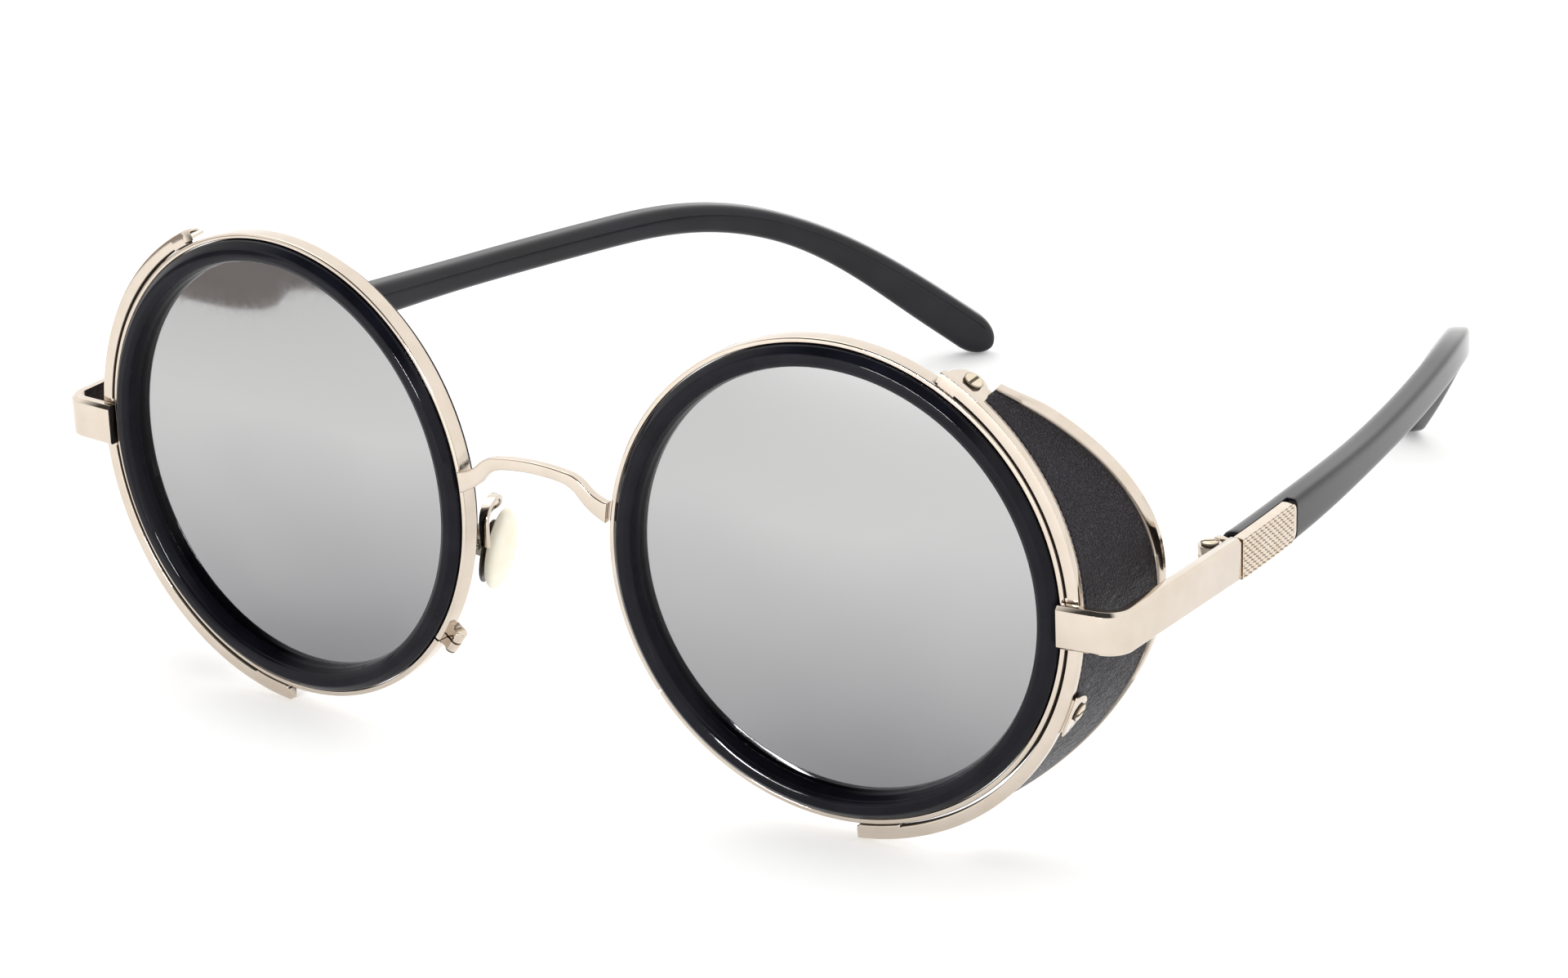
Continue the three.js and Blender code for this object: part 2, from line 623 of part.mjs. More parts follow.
// A flat strip: up behind the rim, back over the top of the pad and down to its box.
function padArm() {
  const path = new THREE.CatmullRomCurve3([
    new THREE.Vector3(9.85, 0.9, -4.9),
    new THREE.Vector3(9.85, 0.9, -2.2),
    new THREE.Vector3(9.95, 1.5, -0.7),
    new THREE.Vector3(10.3, 3.2, 0.05),
    new THREE.Vector3(11, 5, -0.35),
    new THREE.Vector3(11.9, 6.2, -1.6),
    new THREE.Vector3(13.5, 6.75, -3.2),
    new THREE.Vector3(14.9, 6.56, -5.45),
  ]);
  return reshaped(new THREE.BoxGeometry(1, 1, 1, 1, 1, 20), (u, v, w) => {
    const along = path.getTangentAt(w + 0.5);
    const turn = THREE.MathUtils.smoothstep(w, -0.1, 0.5) * (Math.PI / 2);
    const wide = new THREE.Vector3(Math.cos(turn), Math.sin(turn), 0);
    wide.addScaledVector(along, -wide.dot(along)).normalize();
    const thick = new THREE.Vector3().crossVectors(wide, along);
    const point = path.getPointAt(w + 0.5);
    point.addScaledVector(wide, u * 2 * PAD_ARM_HALF_WIDTH);
    return point.addScaledVector(thick, v * 2 * PAD_ARM_HALF_THICKNESS).toArray();
  });
}

// ---------------------------------------------------------------- bridge

// A flat arch of even height; its feet flare out to the rims.
function bridgeOutline() {
  const outline = new THREE.Shape();
  outline.moveTo(-BRIDGE_END_X, 2.5);
  outline.quadraticCurveTo(-8, 3.4, -6.4, 5.2);
  outline.quadraticCurveTo(-5.4, 6.4, -4, 6.6);
  outline.quadraticCurveTo(0, 7.2, 4, 6.6);
  outline.quadraticCurveTo(5.4, 6.4, 6.4, 5.2);
  outline.quadraticCurveTo(8, 3.4, BRIDGE_END_X, 2.5);
  outline.lineTo(BRIDGE_END_X, 5.2);
  outline.quadraticCurveTo(8.8, 5.3, 7.4, 6.6);
  outline.quadraticCurveTo(6.2, 7.8, 4.6, 7.9);
  outline.quadraticCurveTo(0, 8.6, -4.6, 7.9);
  outline.quadraticCurveTo(-6.2, 7.8, -7.4, 6.6);
  outline.quadraticCurveTo(-8.8, 5.3, -BRIDGE_END_X, 5.2);
  return outline;
}

function bridge() {
  const options = { depth: BRIDGE_DEPTH, curveSegments: 6, bevelEnabled: false };
  const strip = new THREE.ExtrudeGeometry(bridgeOutline(), options);
  strip.rotateX(Math.PI / 2).translate(0, BRIDGE_DEPTH - 3, 0);
  const rimRoom = [1, -1].map((sign) => {
    const bore = rod(RIM_OUTER + 0.2, 20, 96).rotateZ(sign * FACE_WRAP);
    return bore.translate((sign * LENS_SPACING) / 2, 0, 0);
  });
  return cut(strip, ...rimRoom);
}

// ---------------------------------------------------------------- assembly

const glasses = new THREE.Group();
glasses.position.set(0, FRONT_Y, LENS_HEIGHT);

function add(parent, name, geometry, material) {
  const mesh = new THREE.Mesh(geometry, material);
  mesh.name = name;
  parent.add(mesh);
}

const eyeParts = [
  ['rim', rim(), polishedGold],
  ['closing_screw', closingScrew(), polishedGold],
  ['inner_ring', innerRing(), glossBlack],
  ['lens', lens(), mirrorLens],
  ['shield_bar', shieldBar(), polishedGold],
  ['shield_shell', shieldShell(), polishedGold],
  ['shield_leather', shieldLeather(), blackLeather],
  ['shield_screw_upper', shieldScrew(SCREW_UPPER), polishedGold],
  ['shield_screw_lower', shieldScrew(SCREW_LOWER), polishedGold],
  ['endpiece', endpiece(), polishedGold],
];
const sideParts = [
  ['hinge_front', hingeFront(), polishedGold],
  ['hinge_screw', hingeScrew(), polishedGold],
  ['hinge_tongue', hingeTongue(), polishedGold],
  ['knurled_plate', knurledPlate(), polishedGold],
  ['temple_arm', templeArm(), glossBlack],
  ['temple_core', coreWire(), springSteel],
  ['pad_arm', padArm(), polishedGold],
];
const padParts = [
  ['pad_box', padBox(), polishedGold],
  ['pad_screw', padScrew(), polishedGold],
  ['pad_backplate', padBackplate(), springSteel],
  ['nose_pad', nosePad(), creamSilicone],
];

for (const [sideName, sign] of [['left', 1], ['right', -1]]) {
  const facing = (geometry) => (sign > 0 ? geometry : mirrored(geometry));
  const eye = new THREE.Group();
  eye.position.x = sign * LENS_SPACING / 2;
  eye.rotation.z = sign * FACE_WRAP;
  const side = new THREE.Group();
  const pad = new THREE.Group();
  pad.position.set(sign * PAD_CENTRE.x, PAD_CENTRE.y, PAD_CENTRE.z);
  pad.rotation.set(0, -sign * PAD_FRONTAL_ANGLE, -sign * PAD_SPLAY);
  for (const [group, parts] of [[eye, eyeParts], [side, sideParts], [pad, padParts]]) {
    for (const [name, geometry, material] of parts) {
      add(group, `${sideName}_${name}`, facing(geometry), material);
    }
    glasses.add(group);
  }
}
add(glasses, 'bridge', bridge(), polishedGold);

export default glasses;
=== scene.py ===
"""Round glacier glasses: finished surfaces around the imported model.

Shapes are drawn in millimetres for the wearer's left side, with the origin midway
between the lens centres, and are mirrored for the right side.
"""
import math

import bmesh
import bpy
from mathutils import Matrix, Vector, noise


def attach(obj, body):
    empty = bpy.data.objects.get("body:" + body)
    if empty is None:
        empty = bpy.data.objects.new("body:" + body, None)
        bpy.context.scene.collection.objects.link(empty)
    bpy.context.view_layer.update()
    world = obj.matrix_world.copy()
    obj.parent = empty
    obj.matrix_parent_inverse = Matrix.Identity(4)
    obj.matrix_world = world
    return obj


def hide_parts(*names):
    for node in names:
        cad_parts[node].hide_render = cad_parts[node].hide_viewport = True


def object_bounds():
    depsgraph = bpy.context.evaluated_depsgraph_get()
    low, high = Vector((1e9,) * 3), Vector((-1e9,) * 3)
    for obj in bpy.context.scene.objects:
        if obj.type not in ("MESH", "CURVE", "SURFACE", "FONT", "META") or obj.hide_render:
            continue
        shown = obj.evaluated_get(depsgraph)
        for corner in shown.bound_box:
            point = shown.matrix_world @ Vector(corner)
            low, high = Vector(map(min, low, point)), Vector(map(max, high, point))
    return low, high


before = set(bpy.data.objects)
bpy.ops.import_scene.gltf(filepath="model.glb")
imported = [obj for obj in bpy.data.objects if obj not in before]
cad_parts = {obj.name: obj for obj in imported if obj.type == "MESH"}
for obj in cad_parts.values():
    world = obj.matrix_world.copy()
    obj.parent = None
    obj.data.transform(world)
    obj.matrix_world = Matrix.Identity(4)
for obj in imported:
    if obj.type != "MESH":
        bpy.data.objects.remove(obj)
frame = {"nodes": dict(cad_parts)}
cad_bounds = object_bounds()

MM = 0.001

# Whole frame, as in the CAD model
LENS_SPACING = 75
LENS_HEIGHT = 29.33
FRONT_Y = -70.1
FACE_WRAP = math.radians(5)

# Eye parts: radii about the lens axis, y behind the front of the rim
RING_OUTER = 27
RING_OPENING = 24.3
RIM_INNER = 27.1
RIM_OUTER = 27.7
RIM_DEPTH = 2
RIM_FRONT_ROUND = 0.26
RING_DEPTH = 3
RING_CREST_Y = -1.05
LENS_RADIUS = 25
LENS_EDGE_Y = 1
LENS_THICKNESS = 1.8
LENS_SPHERE = 240
LENS_SEAT_Y = LENS_EDGE_Y - 0.06
LENS_POCKET = LENS_RADIUS + 0.08
CLOSING_ANGLE = math.radians(216.2)
CLOSING_RADIUS = 28.45
CLOSING_Y = 2.4
CLOSING_BARREL = 0.75
CLOSING_HALF_LENGTH = 1.5
CLOSING_HALF_GAP = 0.15
CLOSING_SHANK = 0.35
CLOSING_HEAD = 0.65

# Side shield; angles in degrees round the lens axis
BAR_INNER = 28
BAR_OUTER = 29.4
BAR_DEPTH = 1.1
BAR_TOP = 62
BAR_BOTTOM = -86
SLOT_TOP = 57
SLOT_BOTTOM = -75
SLOT_MIDDLE = 6
SHIELD_FRONT_Y = 1.3
SHIELD_RADIUS = 28.9
SHIELD_FLARE = 0.11
SHIELD_TOP = 52.3
SHIELD_BOTTOM = -63
SHIELD_MIDDLE = -5.4
SHIELD_BOW_SPAN = 62
SHIELD_BOW_POWER = 1.25
SHIELD_END_DEPTH = 3.4
SHIELD_BOW_DEPTH = 12.9
TAB_TOP = 60.5
TAB_REAR_Y = 4.3
LEATHER_THICKNESS = 0.45
LEATHER_FRONT_Y = SHIELD_FRONT_Y + 0.32
SHELL_DEPTH = LEATHER_THICKNESS + 0.1
SHELL_THICKNESS = 0.3
SHELL_ROOT = SHELL_DEPTH + SHELL_THICKNESS * 0.9
HEM_WIDTH = 0.28
HEM_HEIGHT = 0.12
LIP_GAP = 0.1
LIP_THICKNESS = 0.5
LIP_LEAN = 0.8
LIP_LOW_HEIGHT = 0.06
LIP_HEIGHT = 0.34
LIP_SWELL = 0.35
LEATHER_TURN = 0.35
LEATHER_SINK = 0.13
LEATHER_CROWN = 0.15
LEATHER_CREASE = 0.05
UPPER_SCREW = {"angle": 56.4, "y": 2.7, "radius": 28.95}
LOWER_SCREW = {"angle": -21.7, "y": 2.7, "radius": 29.5}
SCREW_HEAD = 1.1
SCREW_SHANK = 0.45
SCREW_HOLE = 0.55
SCREW_LENGTH = 1.9
LUG_RADIUS = 1.75
LUG_HALF_LENGTH = 2.5
LUG_THICKNESS = 0.3
LUG_OVERLAP = 0.35
LUG_FOOT_HALF = LUG_RADIUS + 0.3

# Endpiece and hinge
STRIP_HEIGHT = 4.8
STRIP_THICKNESS = 1.3
STRIP_Z = 0
STRIP_INNER_X = 27.2
STRIP_OUTER_X = 35.05
STRIP_BEND = 3
STRIP_FRONT_Y = -1.4
STRIP_CHAMFER = 0.42
STRIP_LOW_CHAMFER = STRIP_CHAMFER * 0.6
JOINT_Y = 27.2
HINGE_X = 69.2
HINGE_Y = 25.7
KNUCKLE_RADIUS = 1.35
HINGE_HALF_HEIGHT = 1.7
TONGUE_HALF_HEIGHT = 0.5
HINGE_SCREW_RADIUS = 0.55
HINGE_GAP = 0.15
HINGE_LEAF_START = 19.6
HINGE_LEAF_THICKNESS = 0.7
TONGUE_LOW_X = HINGE_X - 0.55
TONGUE_HIGH_X = HINGE_X + 1.1
TONGUE_REAR_Y = JOINT_Y + 1.2

# Temple: s runs along it from the joint
TEMPLE_START = Vector((70.9, 27.2, -0.1))
TEMPLE_LENGTH = 132.5
TEMPLE_STEPS = 132
TOE_IN = math.radians(4.17)
INWARD_CURVE = math.radians(14.6) / 100
PANTO = math.radians(2.25)
EAR_BEND = math.radians(36.4)
EAR_TWIST = math.radians(21)
BEND_START = 66.9
BEND_END = 119.2
OUTER_HALF = 1.5
INNER_HALF_FRONT = 2.1
INNER_HALF_REAR = 1.7
ARM_HALF_HEIGHT = 2.4
ARM_NARROWING = 0.5
ARM_NARROWEST = 45
EAR_DEEPENING = 0.75
EAR_DEEP_START = 95
EAR_DEEP_END = 124
ARM_START = 1.6
ARM_FRONT_ROUND = 0.45
ARM_TIP = 4
ARM_SQUARENESS = 6.5
ARM_INNER_SQUARENESS = 3.0
PLATE_LENGTH = 14.2
PLATE_THICKNESS = 1.2
PLATE_EDGE = 0.14
PLATE_SHOULDER = 0.5
PLATE_REAR_ROUND = 1.6
PLATE_REAR_DROP = 1.1
PLATE_GAP = 0.15
KNURL_COLUMNS = 12
KNURL_ROWS = 9
KNURL_HEIGHT = 0.24
# Strength of the painted shade in the knurl recesses
KNURL_PAINTED_SHADE = 0.6

# Nose pad
PAD_CENTRE = Vector((12.4, 7, -7.6))
PAD_FRONTAL = math.radians(13)
PAD_SPLAY = math.radians(10)
PAD_HALF = Vector((1.25, 2.9, 5.1))
PAD_TAPER = 0.14
PAD_HOLLOW = 0.12
PAD_PLATE_X = PAD_HALF.x + 0.2
PAD_PLATE_HALF_WIDTH = 2
PAD_PLATE_HALF_HEIGHT = 4
PAD_PLATE_THICKNESS = 0.3
PAD_TAB_LENGTH = 1.55
PAD_TAB_HALF_WIDTH = 0.32
PAD_TAB_HALF_HEIGHT = 0.9
PAD_BOX_X = PAD_PLATE_X + 0.45
PAD_BOX_DEPTH = 2
PAD_BOX_WALL = 0.5
PAD_BOX_HALF_WIDTH = 1.1
PAD_BOX_HALF_HEIGHT = 1.3
PAD_BOX_HALF_SLOT = 0.5
PAD_HINGE_X = PAD_PLATE_X + 1.05
PAD_BORE = 0.4
PAD_ARM_HALF_WIDTH = 0.6
PAD_ARM_HALF_THICKNESS = 0.25
PAD_ARM_ROUTE = [
    (9.85, 0.9, -4.9), (9.85, 0.9, -2.2), (9.95, 1.5, -0.7), (10.3, 3.2, 0.05),
    (11, 5, -0.35), (11.9, 6.2, -1.6), (13.5, 6.75, -3.2), (14.9, 6.56, -5.45),
]

# Bridge
BRIDGE_END_X = 10.9
BRIDGE_FRONT_Y = -3
BRIDGE_THICKNESS = 1.1
BRIDGE_RIM_GAP = 0.2

# Camera, fitted to the photograph; its place is in the drawing's own millimetres
CAMERA_PLACE = Vector((331.5, -433.3, 209.9))
CAMERA_FORWARD = Vector((-0.532, 0.769, -0.355))
CAMERA_ROLL = math.radians(2.3)
CAMERA_LENS = 121.2
CAMERA_SENSOR = 36

# Floor and card, in metres
FLOOR_HALF = 6
FLOOR_DROP = 0.0002
CARD_EDGE_X = -0.219
CARD_FAR_X = -0.5
CARD_NEAR_Y = -0.14
CARD_STEP = 0.012
CARD_STEPS = 26

EYE = Matrix.Translation((LENS_SPACING / 2, 0, 0)) @ Matrix.Rotation(FACE_WRAP, 4, "Z")
PAD = (Matrix.Translation(PAD_CENTRE) @ Matrix.Rotation(-PAD_FRONTAL, 4, "Y")
       @ Matrix.Rotation(-PAD_SPLAY, 4, "Z"))
TO_ROW = Matrix.Translation((0, FRONT_Y * MM, LENS_HEIGHT * MM)) @ Matrix.Scale(MM, 4)
MIRROR = Matrix.Scale(-1, 4, (1, 0, 0))


# ---------------------------------------------------------------- mesh helpers

def smoothstep(value, low, high):
    part = min(max((value - low) / (high - low), 0), 1)
    return part * part * (3 - 2 * part)


def mesh_of(verts, faces):
    """A closed mesh with its faces turned outward."""
    mesh = bpy.data.meshes.new("solid")
    mesh.from_pydata([tuple(v) for v in verts], [], faces)
    work = bmesh.new()
    work.from_mesh(mesh)
    bmesh.ops.remove_doubles(work, verts=work.verts, dist=1e-5)
    bmesh.ops.recalc_face_normals(work, faces=work.faces)
    work.to_mesh(mesh)
    work.free()
    return mesh


def skin(rows, ring=False):
    """Joins loops of equal length with quads; closes the ends unless they form a ring."""
    size = len(rows[0])
    verts = [point for row in rows for point in row]
    faces = []
    for i in range(len(rows) if ring else len(rows) - 1):
        low, high = i * size, (i + 1) % len(rows) * size
        for j in range(size):
            k = (j + 1) % size
            faces.append((low + j, low + k, high + k, high + j))
    if not ring:
        faces.append(tuple(range(size)))
        faces.append(tuple(range(len(verts) - size, len(verts))))
    return mesh_of(verts, faces)


def rounded(corners, radius, steps=4):
    """A polygon with every corner turned into an arc."""
    points = []
    count = len(corners)
    for i, corner in enumerate(corners):
        here = Vector(corner[:2])
        size = corner[2] if len(corner) > 2 else radius
        to_last = (Vector(corners[i - 1][:2]) - here)
        to_next = (Vector(corners[(i + 1) % count][:2]) - here)
        half = to_last.angle(to_next) / 2
        reach = min(size / math.tan(half), to_last.length * 0.49, to_next.length * 0.49)
        start = here + to_last.normalized() * reach
        end = here + to_next.normalized() * reach
        for k in range(steps + 1):
            t = k / steps
            points.append(start * (1 - t) ** 2 + here * 2 * t * (1 - t) + end * t * t)
    return points


def box_corners(low, high):
    return [(low[0], low[1]), (high[0], low[1]), (high[0], high[1]), (low[0], high[1])]


def box_section(low, high, radius, steps=3):
    return rounded(box_corners(low, high), radius, steps)


def turned(profile, start=0.0, end=360.0, steps=192):
    """Turns a closed (radius, y) profile about the y axis."""
    full = end - start > 359.9
    rows = []
    for i in range(steps if full else steps + 1):
        angle = math.radians(start + (end - start) * i / steps)
        rows.append([Vector((r * math.cos(angle), y, r * math.sin(angle))) for r, y in profile])
    return skin(rows, ring=full)


def rod(radius, start, end, edge=0.08, steps=48):
    """A cylinder between two points with rounded rims."""
    start, end = Vector(start), Vector(end)
    axis = (end - start).normalized()
    side = axis.orthogonal().normalized()
    other = axis.cross(side)
    length = (end - start).length
    rows = []
    for k in range(4):
        lean = math.pi / 2 * k / 3
        rows.append((radius - edge + edge * math.sin(lean), edge - edge * math.cos(lean)))
    rows += [(r, length - a) for r, a in reversed(rows)]
    loops = []
    for r, along in rows:
        loops.append([start + axis * along + (side * math.cos(t) + other * math.sin(t)) * r
                      for t in (2 * math.pi * i / steps for i in range(steps))])
    return skin(loops)


def block(low, high):
    x, y, z = zip(low, high)
    verts = [(a, b, c) for a in x for b in y for c in z]
    faces = [(0, 1, 3, 2), (4, 6, 7, 5), (0, 4, 5, 1), (2, 3, 7, 6), (0, 2, 6, 4), (1, 5, 7, 3)]
    return mesh_of(verts, faces)


def swept(path, section):
    """Sweeps an (across, up) section along frames of (place, across axis, up axis)."""
    return skin([[place + side * a + up * b for a, b in section] for place, side, up in path])


def wire_path(points, count):
    """Frames at even steps along a smooth curve through the points."""
    spots = [Vector(p) for p in points]
    ends = [spots[0] * 2 - spots[1]] + spots + [spots[-1] * 2 - spots[-2]]
    places = []
    for i in range(count + 1):
        position = i / count * (len(spots) - 1)
        k = min(int(position), len(spots) - 2)
        t = position - k
        a, b, c, d = ends[k:k + 4]
        places.append(0.5 * (2 * b + (c - a) * t + (2 * a - 5 * b + 4 * c - d) * t * t
                             + (3 * b - a - 3 * c + d) * t ** 3))
    frames = []
    side = None
    for i, place in enumerate(places):
        along = (places[min(i + 1, count)] - places[max(i - 1, 0)]).normalized()
        side = along.orthogonal() if side is None else side - along * side.dot(along)
        side.normalize()
        frames.append((place, side.copy(), along.cross(side)))
    return frames


def modified(mesh, *steps):
    """The mesh after the given modifiers, each a type with its settings."""
    obj = bpy.data.objects.new("work", mesh)
    bpy.context.scene.collection.objects.link(obj)
    for kind, settings in steps:
        modifier = obj.modifiers.new(kind, kind)
        for key, value in settings.items():
            setattr(modifier, key, value)
    depsgraph = bpy.context.evaluated_depsgraph_get()
    result = bpy.data.meshes.new_from_object(obj.evaluated_get(depsgraph))
    bpy.data.objects.remove(obj)
    return result


def combined(operation, mesh, others):
    for other in others:
        tool = bpy.data.objects.new("tool", other)
        bpy.context.scene.collection.objects.link(tool)
        settings = {"operation": operation, "solver": "MANIFOLD", "object": tool}
        mesh = modified(mesh, ("BOOLEAN", settings))
        bpy.data.objects.remove(tool)
    return mesh


def joined(mesh, *others):
    return combined("UNION", mesh, others)


def cut(mesh, *tools):
    return combined("DIFFERENCE", mesh, tools)


def bevelled(mesh, width, steps=2, angle=32):
    settings = {"width": width, "segments": steps, "angle_limit": math.radians(angle),
                "limit_method": "ANGLE", "use_clamp_overlap": True}
    return modified(mesh, ("BEVEL", settings))


def moved(mesh, matrix):
    mesh.transform(matrix)
    return mesh


# ---------------------------------------------------------------- materials

def new_material(name):
    material = bpy.data.materials.new(name)
    material.use_nodes = True
    return material, material.node_tree, material.node_tree.nodes["Principled BSDF"]


def add_node(tree, kind, inputs=None, **settings):
    node = tree.nodes.new("ShaderNode" + kind)
    for key, value in settings.items():
        setattr(node, key, value)
    connect(tree, node, inputs or {})
    return node


def connect(tree, node, inputs):
    for key, value in inputs.items():
        if isinstance(value, bpy.types.NodeSocket):
            tree.links.new(value, node.inputs[key])
        else:
            node.inputs[key].default_value = value


def millimetres(tree):
    place = add_node(tree, "TexCoord").outputs["Object"]
    return add_node(tree, "VectorMath", {0: place, "Scale": 1000}, operation="SCALE").outputs[0]


def noise_of(tree, where, scale, detail=3.0, roughness=0.5):
    inputs = {"Vector": where, "Scale": scale, "Detail": detail, "Roughness": roughness}
    return add_node(tree, "TexNoise", inputs).outputs["Fac"]


def spread(tree, value, low, high, to_low, to_high):
    inputs = {"Value": value, "From Min": low, "From Max": high,
              "To Min": to_low, "To Max": to_high}
    return add_node(tree, "MapRange", inputs).outputs["Result"]


def blend_of(tree, factor, first, second):
    node = add_node(tree, "Mix", data_type="RGBA")
    connect(tree, node, {0: factor, 6: first, 7: second})
    return node.outputs[2]


def bump_of(tree, height, distance, strength=1.0, normal=None):
    inputs = {"Height": height, "Distance": distance * MM, "Strength": strength}
    if normal is not None:
        inputs["Normal"] = normal
    return add_node(tree, "Bump", inputs).outputs["Normal"]


def metal(name, colour, worn, roughness, scratch=0.0006, grain=5.0):
    """Plated metal: colour drift, fine brushing, uneven polish and painted shade in the marked gaps.
    """
    material, tree, shader = new_material(name)
    where = millimetres(tree)
    drift = noise_of(tree, where, 0.35, 2)
    polish = noise_of(tree, where, 1.6, 4)
    fine = noise_of(tree, where, grain, 5, 0.65)
    # Painted shade: marked points in gaps and recesses turn dark brown, less metallic and rougher.
    shade_mark = add_node(tree, "Attribute", attribute_name="painted_shade").outputs["Fac"]
    plating = blend_of(tree, spread(tree, drift, 0.35, 0.7, 0, 1), colour, worn)
    smooth = spread(tree, polish, 0.3, 0.75, roughness, roughness + 0.07)
    connect(tree, shader, {
        "Base Color": blend_of(tree, shade_mark, plating, (0.035, 0.024, 0.017, 1)),
        "Metallic": spread(tree, shade_mark, 0, 1, 1, 0.3),
        "Roughness": add_node(tree, "Math", {0: smooth, 1: shade_mark}, operation="MAXIMUM").outputs[0],
        "Normal": bump_of(tree, fine, scratch),
    })
    return material


def gloss_black(name, colour, haze, shine, rough):
    """Polished black plastic with faint cloudiness, dust-fine specks and handling marks."""
    material, tree, shader = new_material(name)
    where = millimetres(tree)
    cloud = noise_of(tree, where, 0.22, 3)
    marks = noise_of(tree, where, 2.4, 6, 0.7)
    ripple = noise_of(tree, where, 0.5, 2)
    tone = spread(tree, cloud, 0.35, 0.7, 0, 1)
    connect(tree, shader, {
        "Base Color": blend_of(tree, tone, colour, haze),
        "Roughness": spread(tree, marks, 0.45, 0.8, rough, rough + 0.08),
        "IOR": 1.46,
        "Specular IOR Level": shine,
        "Normal": bump_of(tree, ripple, 0.006),
    })
    return material


def mirror_glass(name):
    """A mirror with a painted reflection gradient, darker low down and towards the brow, with faint
    smears and a wavy surface.
    """
    material, tree, shader = new_material(name)
    where = millimetres(tree)
    height = add_node(tree, "SeparateXYZ", {"Vector": where}).outputs["Z"]
    wave = noise_of(tree, where, 0.05, 1, 0.4)
    smear = noise_of(tree, where, 0.9, 5, 0.6)
    drift = noise_of(tree, where, 0.05, 1)
    shifted = add_node(tree, "Math", {0: drift, 1: 14.0, 2: height}, operation="MULTIPLY_ADD")
    # Painted reflection: the coating colour darkens towards the bottom and towards the top edge.
    low = LENS_HEIGHT - 14
    painted_low_shade = spread(tree, shifted.outputs[0], low, low + 28, 1, 0)
    painted_brow_shade = spread(tree, height, LENS_HEIGHT + 6, LENS_HEIGHT + 24, 0, 1)
    upper = blend_of(tree, painted_brow_shade, (0.43, 0.43, 0.43, 1), (0.34, 0.34, 0.34, 1))
    connect(tree, shader, {
        "Base Color": blend_of(tree, painted_low_shade, upper, (0.285, 0.286, 0.297, 1)),
        "Metallic": 1.0,
        "Roughness": spread(tree, smear, 0.35, 0.8, 0.04, 0.09),
        "Normal": bump_of(tree, wave, 0.05),
    })
    return material


def leather(name):
    """Fine pebbled black leather with stretch creases along the bow."""
    material, tree, shader = new_material(name)
    where = millimetres(tree)
    warp = add_node(tree, "TexNoise", {"Vector": where, "Scale": 1.1, "Detail": 3.0})
    shift = add_node(tree, "VectorMath", {0: warp.outputs["Color"], "Scale": 0.9}, operation="SCALE")
    bent = add_node(tree, "VectorMath", {0: where, 1: shift.outputs[0]}, operation="ADD").outputs[0]
    pebble = add_node(tree, "TexVoronoi", {"Vector": bent, "Scale": 2.4, "Randomness": 1.0},
                      feature="DISTANCE_TO_EDGE").outputs["Distance"]
    stretch = add_node(tree, "Mapping", {"Vector": where, "Scale": (1.0, 0.3, 1.0)}).outputs[0]
    crease = noise_of(tree, stretch, 1.5, 3, 0.55)
    groove = spread(tree, pebble, 0.0, 0.16, 0, 1)
    rub = noise_of(tree, where, 0.25, 3)
    low = bump_of(tree, crease, 0.3, 1.0)
    tone = spread(tree, rub, 0.35, 0.7, 0, 1)
    hide = blend_of(tree, tone, (0.009, 0.006, 0.011, 1), (0.014, 0.010, 0.017, 1))
    connect(tree, shader, {
        "Base Color": blend_of(tree, groove, (0.002, 0.001, 0.003, 1), hide),
        "Roughness": spread(tree, groove, 0, 1, 0.5, 0.3),
        "IOR": 1.5,
        "Specular IOR Level": 0.2,
        "Sheen Weight": 0.04,
        "Sheen Roughness": 0.35,
        "Sheen Tint": (0.72, 0.75, 0.9, 1),
        "Normal": bump_of(tree, groove, 0.09, 1.0, low),
    })
    return material


def silicone(name):
    """Soft translucent cream silicone, slightly cloudy and dusty."""
    material, tree, shader = new_material(name)
    where = millimetres(tree)
    cloud = noise_of(tree, where, 0.5, 3)
    fine = noise_of(tree, where, 4.0, 4)
    tone = spread(tree, cloud, 0.3, 0.7, 0, 1)
    connect(tree, shader, {
        "Base Color": blend_of(tree, tone, (0.93, 0.88, 0.76, 1), (0.88, 0.81, 0.66, 1)),
        "Roughness": spread(tree, fine, 0.3, 0.7, 0.28, 0.42),
        "IOR": 1.41,
        "Subsurface Weight": 0.45,
        "Subsurface Radius": (1.0, 0.8, 0.55),
        "Subsurface Scale": 2.5 * MM,
        "Normal": bump_of(tree, fine, 0.004),
    })
    return material


MATERIALS = {
    "polished_gold": metal("polished_gold", (0.63, 0.555, 0.475, 1), (0.60, 0.52, 0.435, 1), 0.05),
    "screw_gold": metal("screw_gold", (0.72, 0.64, 0.53, 1), (0.64, 0.54, 0.40, 1), 0.1, 0.002),
    "knurled_gold": metal("knurled_gold", (0.71, 0.62, 0.53, 1), (0.66, 0.56, 0.45, 1), 0.14, 0.003),
    "gloss_black_acetate": gloss_black("gloss_black_acetate", (0.003, 0.003, 0.005, 1),
                                       (0.006, 0.006, 0.010, 1), 0.16, 0.05),
    "gloss_black_temple": gloss_black("gloss_black_temple", (0.003, 0.003, 0.005, 1),
                                      (0.008, 0.006, 0.011, 1), 0.38, 0.12),
    "mirror_lens": mirror_glass("mirror_lens"),
    "black_leather": leather("black_leather"),
    "core_steel": metal("core_steel", (0.10, 0.095, 0.09, 1), (0.06, 0.055, 0.05, 1), 0.22, 0.003),
    "cream_silicone": silicone("cream_silicone"),
}


# ---------------------------------------------------------------- pieces

def painted_shade(mesh, rule, amount=1.0):
    """Marks the points where rule(radius, y, angle) holds, for the metal's painted shade."""
    marks = mesh.attributes.new("painted_shade", "FLOAT", "POINT")
    for vertex, mark in zip(mesh.vertices, marks.data):
        x, y, z = vertex.co
        angle = math.degrees(math.atan2(z, x))
        mark.value = amount if rule(math.hypot(x, z), y, angle) else 0.0


